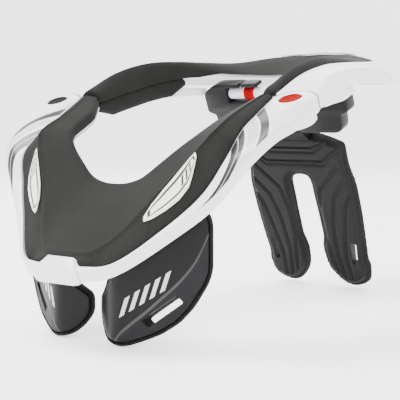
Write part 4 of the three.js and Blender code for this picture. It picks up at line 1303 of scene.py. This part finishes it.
    def pad(self) -> Piece:
        """The foam ring: a swollen neck face, a crest line and a crowned top to the border.

        Along both arms a lip of foam hangs over the shell's inner edge.

        Returns:
            A closed mesh object.
        """
        s = np.linspace(-7, 7, 261)
        neck, crest, edge = (self.rails[key].at(s) for key in ("neck", "crest", "edge"))
        out = outward(neck, self.rails["fin"].at(s))
        below, inner = shifted(edge, 0, -PAD_EDGE, out), shifted(neck, 2, 0, out)
        lip = -4.4 * np.clip((np.abs(s) - 2.6) / 0.9, 0.05, 1)[:, None]
        swell = crest - neck
        ring = [(shifted(neck, 0, lip, out), 0, 0.9), (neck, 0.05, 1.5),
                (shifted(neck + swell * 0.3, -2.4, 0.5, out), 0.1, 6),
                (shifted(neck + swell * 0.7, -1.7, 1, out), 0.2, 6), (crest, 0.3, 2.2),
                (self.pad_top(s, 0.15), 0.4, 3), (self.pad_top(s, 0.4), 0.6, 0),
                (self.pad_top(s, 0.65), 0.8, 0), (edge, 1, 1.3), (below, 1.1, 0.6),
                ((below + inner) / 2, 1.5, 0), (inner, 1.8, 0.3), (shifted(inner, 0, lip, out), 2, 0.7)]
        return smooth(sweep("rear_pad_foam", profiled(ring, run_length(crest), 2.2)), 40)

    def pad_top(self, station: Grid, share: float | Grid) -> Grid:
        """Top of the foam ring from crest to border, raised by 4 t (1 - t) mm.

        Args:
            station: stations, one per point.
            share: place t between crest and border, one for all points or one each.
        Returns:
            One row of x, y, z for each station.
        """
        crest, edge = self.rails["crest"].at(station), self.rails["edge"].at(station)
        share = np.broadcast_to(share, len(station))[:, None]
        points = crest + (edge - crest) * share
        points[:, 2:3] += 4 * share * (1 - share)
        return points

    def insert(self) -> Piece:
        """The cream plate across the back of the foam ring."""
        rows = np.array(self.insert_rows)
        s = np.linspace(-rows[-1, 0], rows[-1, 0], 81)
        return inlay("rear_insert_plate", s, rows, self.pad_top, (0.04, 0.14, 0.18), 1.9)

    def shoulder_pad(self) -> Piece:
        """The left shoulder pad: foam hanging under the arm, shallow at both ends.

        Returns:
            A closed mesh object.
        """
        s = np.linspace(4, 7, 70)
        neck, edge = self.rails["neck"].at(s), self.rails["edge"].at(s)
        out = outward(neck, self.rails["fin"].at(s))
        under = -SHELL_WALL - 2 * PAD_BED
        inner, outer = shifted(neck, 3.5, under, out), shifted(edge, 0, under - PAD_EDGE, out)
        along = (s - 4) / 3
        drop = 17.0 * np.minimum(1, 0.45 + 0.28 * 12 * np.minimum(along, 1 - along))[:, None]
        ring = [(inner, 0.8), (outer, 1.5), (shifted(outer, 3.0, -drop * 0.5, out), 5),
                (shifted(outer, 0, -drop, out), 3.5), (shifted(inner, 2, -drop, out), 3.5),
                (shifted(inner, -1.5, -drop * 0.7, out), 4), (shifted(inner, -2, -drop * 0.3, out), 3)]
        rings = profiled([(points, 1.0, radius) for points, radius in ring], along * 100, 2.5)
        return smooth(sweep("shoulder_pad_foam_left", rings), 45)

    def build(self, finishes: Finishes) -> None:
        """Builds and dresses the rear half.

        Args:
            finishes: the finishes to dress it in.
        """
        dress(self.shell(), finishes["shell"], "rear", ["rear_shell"])
        dress(self.pad(), finishes["foam"], "rear", ["rear_pad"])
        dress(self.insert(), finishes["rear_insert"], "rear", ["rear_insert"])
        left = self.shoulder_pad()
        right = mirrored(left, "shoulder_pad_foam_right")
        dress(right, finishes["foam"], "rear", ["shoulder_pad_right"])
        dress(left, finishes["foam"], "rear", ["shoulder_pad_left"])


@dataclass
class ChestPads:
    """The two chest pads: a foam plate with a raised border round a folded black cover."""

    rows: tuple = ((0.021, 0.940, 0.33, 0.19), (0.055, 0.963, 0.37, 0.11), (0.097, 0.990, 0.42, 0.05),
                   (0.138, 1.013, 0.50, 0.02), (0.183, 1.028, 0.59, 0.01), (0.228, 1.026, 0.69, 0.00),
                   (0.283, 1.007, 0.77, 0.01), (0.359, 0.971, 0.88, 0.05), (0.441, 0.930, 0.96, 0.10),
                   (0.519, 0.885, 1.00, 0.18), (0.579, 0.854, 1.00, 0.28), (0.621, 0.834, 1.00, 0.38),
                   (0.655, 0.815, 0.98, 0.46), (0.676, 0.801, 0.90, 0.56))
    height: float = 107.0
    foam: float = 8.0
    cover: float = 2.5

    def __post_init__(self) -> None:
        """Works out the path in plan and the outline along it."""
        table = np.array(self.rows)
        self.plan = np.stack([table[:, 0] * HALF_WIDTH, -table[:, 1] * FRONT_REACH], axis=1)
        self.length = run_length(self.plan)
        fine = np.linspace(0, self.length[-1], 90)
        upper, lower = (np.stack([fine, np.interp(fine, self.length, table[:, k] * self.height)], axis=1)
                        for k in (2, 3))
        ring = evened(np.vstack([lower, upper[::-1]]), 240)
        kernel = np.ones(7) / 7
        self.outline = np.stack([np.convolve(np.pad(ring[:, k], 3, mode="wrap"), kernel, "valid")
                                 for k in range(2)], axis=1)

    def on_path(self, length: Grid) -> Grid:
        """Points of the path in plan at lengths along it, x and y in the last axis."""
        return np.stack([np.interp(length, self.length, self.plan[:, k]) for k in range(2)], axis=-1)

    def placed(self, flat: Grid, offset: Grid) -> Grid:
        """Carries points of the unrolled pad onto its path, and straight on past its ends.

        Args:
            flat: (..., 2) lengths along the path and heights.
            offset: how far each point lies behind the outer line.
        Returns:
            (..., 5) worn points, as they hang, with texture place.
        """
        length, step = np.clip(flat[..., 0], 0, self.length[-1]), 3.0
        tangent = self.on_path(length + step) - self.on_path(length - step)
        tangent /= np.linalg.norm(tangent, axis=-1, keepdims=True)
        out = np.stack([tangent[..., 1], -tangent[..., 0]], axis=-1)
        past = (flat[..., 0] - length)[..., None]
        plan = self.on_path(length) + tangent * past - out * offset[..., None]
        return np.concatenate([plan, flat[..., 1:2], flat / 100], axis=-1)

    def inset(self, distance: float) -> Grid:
        """The outline drawn in by a distance along its own normals."""
        line = self.outline
        tangent = np.roll(line, -2, axis=0) - np.roll(line, 2, axis=0)
        normal = np.stack([-tangent[:, 1], tangent[:, 0]], axis=1)
        return line + normal / np.linalg.norm(normal, axis=1, keepdims=True) * distance

    def plate(self, name: str, border: Sequence[tuple[float, float]], face: Callable[[Grid], Grid],
              back: float) -> Piece:
        """A closed plate: border rings from the back round to the front, then shrinking rings.

        A face ring at share f is centre + f (border - centre).

        Args:
            name: the piece's name.
            border: inset and offset of each border ring, from the back face to the front.
            face: gives the offset of the front face at unrolled points.
            back: offset of the back face.
        Returns:
            A closed mesh object.
        """
        centre = self.outline.mean(axis=0)
        shares = (0.97, 0.93, 0.87, 0.8, 0.72, 0.64, 0.55, 0.46, 0.37, 0.28, 0.19, 0.1, 0.03)
        first, last = self.inset(border[0][0]), self.inset(border[-1][0])
        flats = [(centre + (first - centre) * share, back) for share in shares[::-1]]
        flats += [(self.inset(inset), offset) for inset, offset in border]
        rings = [self.placed(flat, np.full(len(flat), offset)) for flat, offset in flats]
        fronts = [centre + (last - centre) * share for share in shares]
        rings += [self.placed(flat, face(flat)) for flat in fronts]
        return sweep(name, np.stack(rings), HANGING)

    @staticmethod
    def cover_face(flat: Grid) -> Grid:
        """Offset of the cover's front at unrolled points: a fold, and a step back below the line."""
        fold = np.interp(flat[:, 0], [0, 22, 30, 80, 105], [0.5, 0.5, 0.0, 0.0, 0.5])
        line = np.interp(flat[:, 0] / 100, *np.transpose(COVER_LINE)) * 100
        return fold + 0.8 * np.clip((line - flat[:, 1]) / 18, 0, 1)

    def build(self, finishes: Finishes) -> None:
        """Builds and dresses both pads, each with a slanted strap slot through cover and foam.

        Args:
            finishes: the finishes to dress them in.
        """
        bed = self.cover + CLEARANCE
        back = bed + self.foam
        border = [(3.0, back), (1.4, back - 0.6), (0.5, back - 1.8), (0.0, back - 3.5), (0.0, 4.2),
                  (0.3, 2.4), (1.0, 1.1), (1.8, 0.6), (2.4, 0.8), (2.75, 1.6), (2.8, bed)]
        foam = self.plate("chest_pad_foam_left", border, lambda flat: np.full(len(flat), bed), back)
        edge = [(4.2, self.cover), (3.6, self.cover - 0.3), (3.4, self.cover - 0.9), (3.5, 1.2), (4.1, 0.7)]
        cover = self.plate("chest_cover_skin_left", edge, self.cover_face, self.cover)
        for piece, finish, node in ((foam, "pad_foam", "chest_pad"), (cover, "cover", "chest_cover")):
            slot = strap_slot((63.7, -140, 28.6), (15.5, 21, 3.5), 40, 1.5, HANGING, textured=True)
            combine(piece, [slot], "DIFFERENCE")
            other = mirrored(smooth(piece, 42), piece.name.replace("_left", "_right"))
            dress(piece, finishes[finish], "front", [f"{node}_left"])
            dress(other, finishes[finish], "front", [f"{node}_right"])


@dataclass
class BackCarrier:
    """The black yoke with its window, the spindle, red sleeves and caps."""

    half_width: float = 80.0
    top: float = 150.0
    bottom: float = 99.5
    window: tuple[float, float, float] = (52.0, 131.0, 146.0)
    mouth: float = 36.0
    corners: tuple = ((0.82, 1.0, 6), (1.0, 0.83, 5), (1.0, 0.43, 3), (0.89, 0.36, 2), (0.87, 0.0, 9))

    def yoke(self) -> Piece:
        """The yoke: one outline round the window's mouth and the stem's notch, edges bevelled.

        Returns:
            A closed mesh object.
        """
        rise = self.top - self.bottom
        wide, low, high = self.window
        notch, notch_top = 23.4, TILT_AXIS_Z + 6.4
        outer = [(x * self.half_width, self.bottom + up * rise, r) for x, up, r in self.corners]
        right = [(self.mouth, high, 1.5), (self.mouth, self.top, 2), *outer, (notch, self.bottom, 1.5),
                 (notch, notch_top, 1.5)]
        inner = [(-wide, high, 1.5), (-wide, low, 3), (wide, low, 3), (wide, high, 1.5)]
        loop = [*right, *[(-x, z, r) for x, z, r in right[::-1]], *inner]
        corners = np.array([[(x, CARRIER_Y, z) for x, z, _ in loop]])
        outline = rounded(corners, [r for *_, r in loop], 5)[0]
        bevel = [(0.0, 1.3), (0.35, 0.45), (1.1, 0.0)]
        rings = [self.drawn(outline, inset, CARRIER_Y + y) for inset, y in bevel[::-1]]
        rings += [self.drawn(outline, inset, CARRIER_Y + CARRIER_DEPTH - y) for inset, y in bevel]
        count = len(outline)
        flat = np.vstack(rings)
        faces = [(k + i, k + (i + 1) % count, k + count + (i + 1) % count, k + count + i)
                 for k in range(0, (len(rings) - 1) * count, count) for i in range(count)]
        for first in (0, (len(rings) - 1) * count):
            cap = tessellate_polygon([[Vector((p[0], p[2], 0)) for p in flat[first:first + count]]])
            faces += [tuple(first + i for i in triangle) for triangle in cap]
        piece = new_piece("carrier_yoke", WORN.to_row(flat), faces)
        face_outward(piece)
        return smooth(piece, 35)

    @staticmethod
    def drawn(outline: Grid, inset: float, y: float) -> Grid:
        """Draws an X-Z outline in along its normals and sets it at a depth.

        Args:
            outline: closed line of x, y and z rows.
            inset: how far it is drawn in.
            y: its new depth.
        Returns:
            The moved line.
        """
        tangent = np.roll(outline, -1, axis=0) - np.roll(outline, 1, axis=0)
        normal = np.stack([tangent[:, 2], 0 * tangent[:, 0], -tangent[:, 0]], axis=1)
        normal /= np.maximum(np.linalg.norm(normal, axis=1, keepdims=True), 1e-9)
        x, z = outline[:, 0], outline[:, 2]
        area = np.sum(x * np.roll(z, -1) - np.roll(x, -1) * z)
        moved = outline - normal * inset * np.sign(area)
        moved[:, 1] = y
        return moved

    def rod(self, name: str, profile: Sequence[tuple[float, float]]) -> Piece:
        """A round piece on the spindle's line: x = h, y = r cos a, z = r sin a about the line.

        Args:
            name: the piece's name.
            profile: radius and x pairs.
        Returns:
            A closed mesh object.
        """
        line = np.array(profile, dtype=float)
        angle = np.linspace(0, 2 * math.pi, 64, endpoint=False)
        radius, along = line[:, 0][:, None], line[:, 1][:, None] + 0 * angle
        y = CARRIER_Y + CARRIER_DEPTH / 2 + radius * np.cos(angle)
        z = self.axis_z + radius * np.sin(angle)
        return sweep(name, np.stack([along, y, z, along, 0 * y], axis=2))

    @property
    def axis_z(self) -> float:
        """Height of the spindle's line, the middle of the window."""
        return (self.window[1] + self.window[2]) / 2

    def build(self, finishes: Finishes) -> None:
        """Builds and dresses the carrier and what is in its window.

        Args:
            finishes: the finishes to dress it in.
        """
        dress(self.yoke(), finishes["hard"], "rear", ["carrier"])
        end = self.window[0] - CLEARANCE
        half = [(5.6, end - 1), (4.6, end), (0, end)]
        spindle = self.rod("spindle_rod", [*((r, -x) for r, x in half[::-1]), *half])
        dress(smooth(spindle, 35), finishes["spindle"], "rear", ["spindle"])
        groove = [(6.6, 0.8), (7.0, 1.2), (7.0, 4.9), (6.6, 5.5), (6.0, 5.5)]
        y, low = CARRIER_Y + CARRIER_DEPTH / 2, self.axis_z + 7.4
        for side in Side:
            x = 27.0 * side.value
            profile = [*((r, x - h) for r, h in groove[::-1]), *((r, x + h) for r, h in groove)]
            collar = smooth(self.rod(f"collar_sleeve_{side.word}", profile), 30)
            dress(collar, finishes["red"], f"collar_{side.word}", [f"adjuster_collar_{side.word}"])
            first, last = sorted((16.0 * side.value, 35.0 * side.value))
            cap = block(f"adjuster_cap_cover_{side.word}", (first, y - 6, low), (last, y + 6, low + 4))
            bevelled(cap, 1.3, 4)
            dress(smooth(cap, 40), finishes["hard"], "rear", [f"adjuster_cap_{side.word}"])


@dataclass
class BackWings:
    """The forked back plate: a thin flange round a raised, channelled body, on a stem."""

    half_width: float = 67.0
    drop: float = 191.2
    thickness: float = 9.0
    outline: tuple = ((0.36, 0.097, 3), (0.58, 0.117, 12), (0.80, 0.148, 5), (0.87, 0.160, 4),
                      (0.86, 0.290, 10), (0.93, 0.385, 14), (0.92, 0.600, 25), (0.87, 0.830, 5),
                      (0.90, 0.855, 3), (0.86, 0.955, 12), (0.60, 1.000, 10), (0.38, 0.985, 10),
                      (0.15, 0.890, 12), (0.12, 0.765, 6), (0.18, 0.700, 8), (0.155, 0.345, 8))
    channels: tuple = (((0.70, 0.28), (0.35, 0.41), (0.27, 0.54), (0.27, 0.70), (0.36, 0.90)),
                       ((0.78, 0.36), (0.56, 0.455), (0.45, 0.60), (0.42, 0.78), (0.47, 0.93)),
                       ((0.86, 0.42), (0.72, 0.505), (0.62, 0.66), (0.56, 0.80), (0.58, 0.94)))
    cross: tuple = (((-0.52, 0.155), (-0.34, 0.177), (0.34, 0.177), (0.52, 0.150)),
                    ((-0.58, 0.158), (-0.37, 0.205), (0.37, 0.205), (0.58, 0.158)),
                    ((-0.74, 0.180), (-0.47, 0.252), (0.47, 0.252), (0.74, 0.180)),
                    ((-0.77, 0.192), (-0.50, 0.275), (0.50, 0.275), (0.77, 0.192)))
    rim: float = 2.6
    flange: float = 4.8
    pitch: float = 1.3

    def placed(self, points: Sequence[tuple[float, float]]) -> Grid:
        """Shares of the half width and the drop as x and z in worn millimetres."""
        table = np.array(points, dtype=float)[:, :2]
        return np.stack([table[:, 0] * self.half_width, TILT_AXIS_Z - table[:, 1] * self.drop], axis=1)

    def border(self) -> Grid:
        """The whole outline as a closed line of x and z, corners rounded and points even."""
        right = self.placed(self.outline)
        both = np.vstack([right, right[::-1] * (-1, 1)])
        radii = [r for *_, r in self.outline]
        ring = np.stack([both[:, 0], 0 * both[:, 0], both[:, 1]], axis=1)[None]
        return evened(rounded(ring, radii + radii[::-1], 6)[0][:, (0, 2)], 760)

    @staticmethod
    def distance(points: Grid, line: Grid, closed: bool = False) -> Grid:
        """Shortest distance from points to a line of straight pieces.

        For a piece from a to b it is |p - a - t (b - a)| with t = (p-a).(b-a)/|b-a|^2 held in 0..1.

        Args:
            points: points, one row each.
            line: corners of the line, one row each.
            closed: whether its last corner joins its first.
        Returns:
            One distance per point.
        """
        ends = np.vstack([line, line[:1]]) if closed else line
        best = np.full(len(points), 1e9)
        for a, b in zip(ends[:-1], ends[1:]):
            span = b - a
            t = np.clip(((points - a) @ span) / max(float(span @ span), 1e-9), 0, 1)
            best = np.minimum(best, np.linalg.norm(points - a - t[:, None] * span, axis=1))
        return best

    def netted(self, line: Grid) -> tuple[Grid, list]:
        """Covers the outline with triangles between its points and a staggered net inside it.

        Args:
            line: the closed outline.
        Returns:
            Points of x and z, and the corner numbers of each triangle.
        """
        low, high = line.min(axis=0), line.max(axis=0)
        gx, gz = np.meshgrid(*(np.arange(*ends, self.pitch) for ends in zip(low, high)), indexing="ij")
        gx[:, ::2] += self.pitch / 2
        net = np.stack([gx.ravel(), gz.ravel()], axis=1)
        net = net[self.inside(net, line) & (self.distance(net, line[::4], True) > 0.8)]
        points = [Vector(p) for p in np.vstack([line, net])]
        edges = [(k, (k + 1) % len(line)) for k in range(len(line))]
        verts, _, faces, *_ = delaunay_2d_cdt(points, edges, [], 1, 1e-5)
        return np.array([(v.x, v.y) for v in verts]), faces

    def plate(self) -> Piece:
        """The plate: a net of points raised to the body's height field.

        Front height = flange, then a smooth rise between 4 and 7.5 mm from the border to full
        thickness, less d exp(-(r / w)^4) at distance r from each channel line.

        Returns:
            A closed mesh object.
        """
        line = self.border()
        flat, faces = self.netted(line)
        far = self.distance(flat, line[::2], True)
        far[self.distance(flat, line, True) < 1e-3] = 0
        rise = self.ramp(far, 4.0, 7.5)
        bulge = np.sqrt(np.clip(1 - (1 - np.clip(far / 1.6, 0, 1)) ** 2, 0, 1))
        front = self.rim + (self.flange - self.rim) * bulge + (self.thickness - self.flange) * rise
        cuts = [(self.placed(cut) * (side.value, 1), 2.0, 1.9) for cut in self.channels for side in Side]
        cuts += [(self.placed(cut), 1.4, 1.2) for cut in self.cross]
        for cut, depth, width in cuts:
            front -= depth * np.exp(-((self.distance(flat, cut) / width) ** 4)) * rise
        heights = (front, self.rim - self.rim * bulge)
        body = np.vstack([np.stack([flat[:, 0], WING_BACK - up, flat[:, 1]], axis=1) for up in heights])
        skin = [tuple(face) for face in faces]
        skin += [tuple(i + len(flat) for i in face[::-1]) for face in faces]
        piece = new_piece("wing_plate", WORN.to_row(body), skin)
        face_outward(piece, 2e-5)
        return piece

    @staticmethod
    def ramp(value: Grid, low: float, high: float) -> Grid:
        """Smooth ramp 3t^2 - 2t^3 between two limits."""
        t = np.clip((value - low) / (high - low), 0, 1)
        return t * t * (3 - 2 * t)

    @staticmethod
    def inside(points: Grid, line: Grid) -> Grid:
        """Whether points lie inside a closed line, by counting crossings.

        Args:
            points: points, one row each.
            line: corners of the line, one row each.
        Returns:
            One truth value per point.
        """
        x, y = points.T
        result = np.zeros(len(points), dtype=bool)
        for a, b in zip(line, np.roll(line, -1, axis=0)):
            if a[1] != b[1]:
                crosses = (a[1] > y) != (b[1] > y)
                result ^= crosses & (x < (b[0] - a[0]) * (y - a[1]) / (b[1] - a[1]) + a[0])
        return result

    def stem(self) -> Piece:
        """The stem: a rounded arm from the tilt barrel down to the plate.

        Returns:
            A closed mesh object.
        """
        y, back = CARRIER_Y + CARRIER_DEPTH / 2, WING_BACK - 0.2
        foot = TILT_AXIS_Z - 0.12 * self.drop
        base = np.array([(y - 5.5, TILT_AXIS_Z + 3), (y, TILT_AXIS_Z + 6), (y + 5.5, TILT_AXIS_Z + 2),
                         (back, foot + 6), (back, foot - 3), (WING_BACK - 9.5, foot - 3), (y - 5.5, 99)])
        inward = base.mean(axis=0) - base
        inward /= np.linalg.norm(inward, axis=1, keepdims=True)
        stations = [(-22.9, 0.9), (-22.9, 0.5), (-22.0, 0), (0, 0), (22.0, 0), (22.9, 0.5), (22.9, 0.9)]
        grid = np.zeros((len(stations), len(base), 5))
        for row, (x, draw) in zip(grid, stations):
            row[:, 0], row[:, 1:3] = x, base + inward * draw
        return smooth(sweep("wing_stem", rounded(grid, [3, 5, 3, 2, 2, 2, 3], 4)), 40)

    def slot_tool(self, side: Side) -> Piece:
        """A strap slot through one leg, slightly slanted."""
        x, z = 0.70 * self.half_width * side.value, TILT_AXIS_Z - 0.785 * self.drop
        return strap_slot((x, WING_BACK - 6, z), (3, 18, 12), -6.0 * side.value, 1.2)

    def build(self, finishes: Finishes) -> None:
        """Builds and dresses the wings.

        Args:
            finishes: the finishes to dress them in.
        """
        plate = self.plate()
        combine(plate, [self.slot_tool(side) for side in Side], "DIFFERENCE")
        body = joined("wing_plate_body", [smooth(plate, 40), self.stem()])
        dress(body, finishes["wing"], "wings", ["wings"])


@dataclass
class Studio:
    """Pale floor and backdrop, soft lights and the photograph's camera."""

    camera_place: Place = (0.5713, -0.76 + WORN.shift_y * MM, 0.177 + WORN.shift_z * MM)
    pitch_deg: float = 4.583
    yaw_deg: float = 37.243
    lens: float = 97.1

    def camera(self) -> None:
        """Places the camera."""
        data = bpy.data.cameras.new("photo_camera")
        data.lens, data.sensor_width, data.sensor_height, data.sensor_fit = self.lens, 36.0, 36.0, "AUTO"
        data.clip_end = 60.0
        eye = bpy.data.objects.new("photo_camera", data)
        eye.location = self.camera_place
        eye.rotation_euler = (math.radians(90 - self.pitch_deg), 0.0, math.radians(self.yaw_deg))
        bpy.context.scene.collection.objects.link(eye)
        bpy.context.scene.camera = eye

    def backdrop(self) -> None:
        """One sheet: a level floor that turns up in a wide curve all round."""
        bend = np.linspace(0.08, math.pi / 2, 14)
        radius = np.concatenate([np.linspace(0, 3.0, 12), 3.0 + 1.6 * np.sin(bend), [4.6]])
        rise = np.concatenate([np.zeros(12), 1.6 - 1.6 * np.cos(bend), [5.0]])
        angle = np.linspace(0, 2 * math.pi, 96, endpoint=False)
        x, y = radius[:, None] * np.cos(angle), radius[:, None] * np.sin(angle)
        points = np.stack([x, y, rise[:, None] + 0 * angle], axis=2).reshape(-1, 3)
        rows, size = len(radius), len(angle)
        faces = [(k + i, k + size + i, k + size + (i + 1) % size, k + (i + 1) % size)
                 for k in range(0, (rows - 1) * size, size) for i in range(size)]
        sheet = new_piece("studio_floor", points, faces)
        sheet.data.shade_smooth()
        material = bpy.data.materials.new("floor paper")
        material.use_nodes = True
        shader = material.node_tree.nodes["Principled BSDF"]
        shader.inputs["Base Color"].default_value = (0.92, 0.92, 0.92, 1)
        shader.inputs["Emission Color"].default_value = (1, 1, 1, 1)
        shader.inputs["Emission Strength"].default_value = 0.95
        shader.inputs["Roughness"].default_value = 0.75
        sheet.data.materials.append(material)

    def lamp(self, name: str, place: Place, size: float, watts: float, target: Place) -> None:
        """Adds a square soft light that looks at a point."""
        data = bpy.data.lights.new(name, "AREA")
        data.size, data.energy = size, watts
        light = bpy.data.objects.new(name, data)
        light.location = place
        light.rotation_euler = (Vector(target) - Vector(place)).to_track_quat("-Z", "Y").to_euler()
        bpy.context.scene.collection.objects.link(light)

    def build(self) -> None:
        """Builds the studio."""
        self.camera()
        self.backdrop()
        self.lamp("key", (-0.9, -0.5, 2.1), 1.3, 120, (0, 0, 0.1))
        self.lamp("fill", (1.8, -0.6, 1.2), 1.6, 14, (0, 0, 0.15))
        self.lamp("back", (-0.8, 1.6, 1.6), 1.6, 32, (0, 0, 0.15))
        world = bpy.data.worlds.new("studio")
        world.use_nodes = True
        ground = world.node_tree.nodes["Background"]
        ground.inputs["Color"].default_value = (1, 1, 1, 1)
        ground.inputs["Strength"].default_value = 0.7
        bpy.context.scene.world = world


def main() -> None:
    """Builds the brace piece by piece."""
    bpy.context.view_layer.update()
    Studio().build()
    finishes = Finishes()
    FrontCollar().build(finishes)
    RearCollar().build(finishes)
    ChestPads().build(finishes)
    BackCarrier().build(finishes)
    BackWings().build(finishes)
    bpy.context.view_layer.update()


if __name__ == "__main__":
    logging.basicConfig(level=logging.INFO, format="%(message)s")
    main()
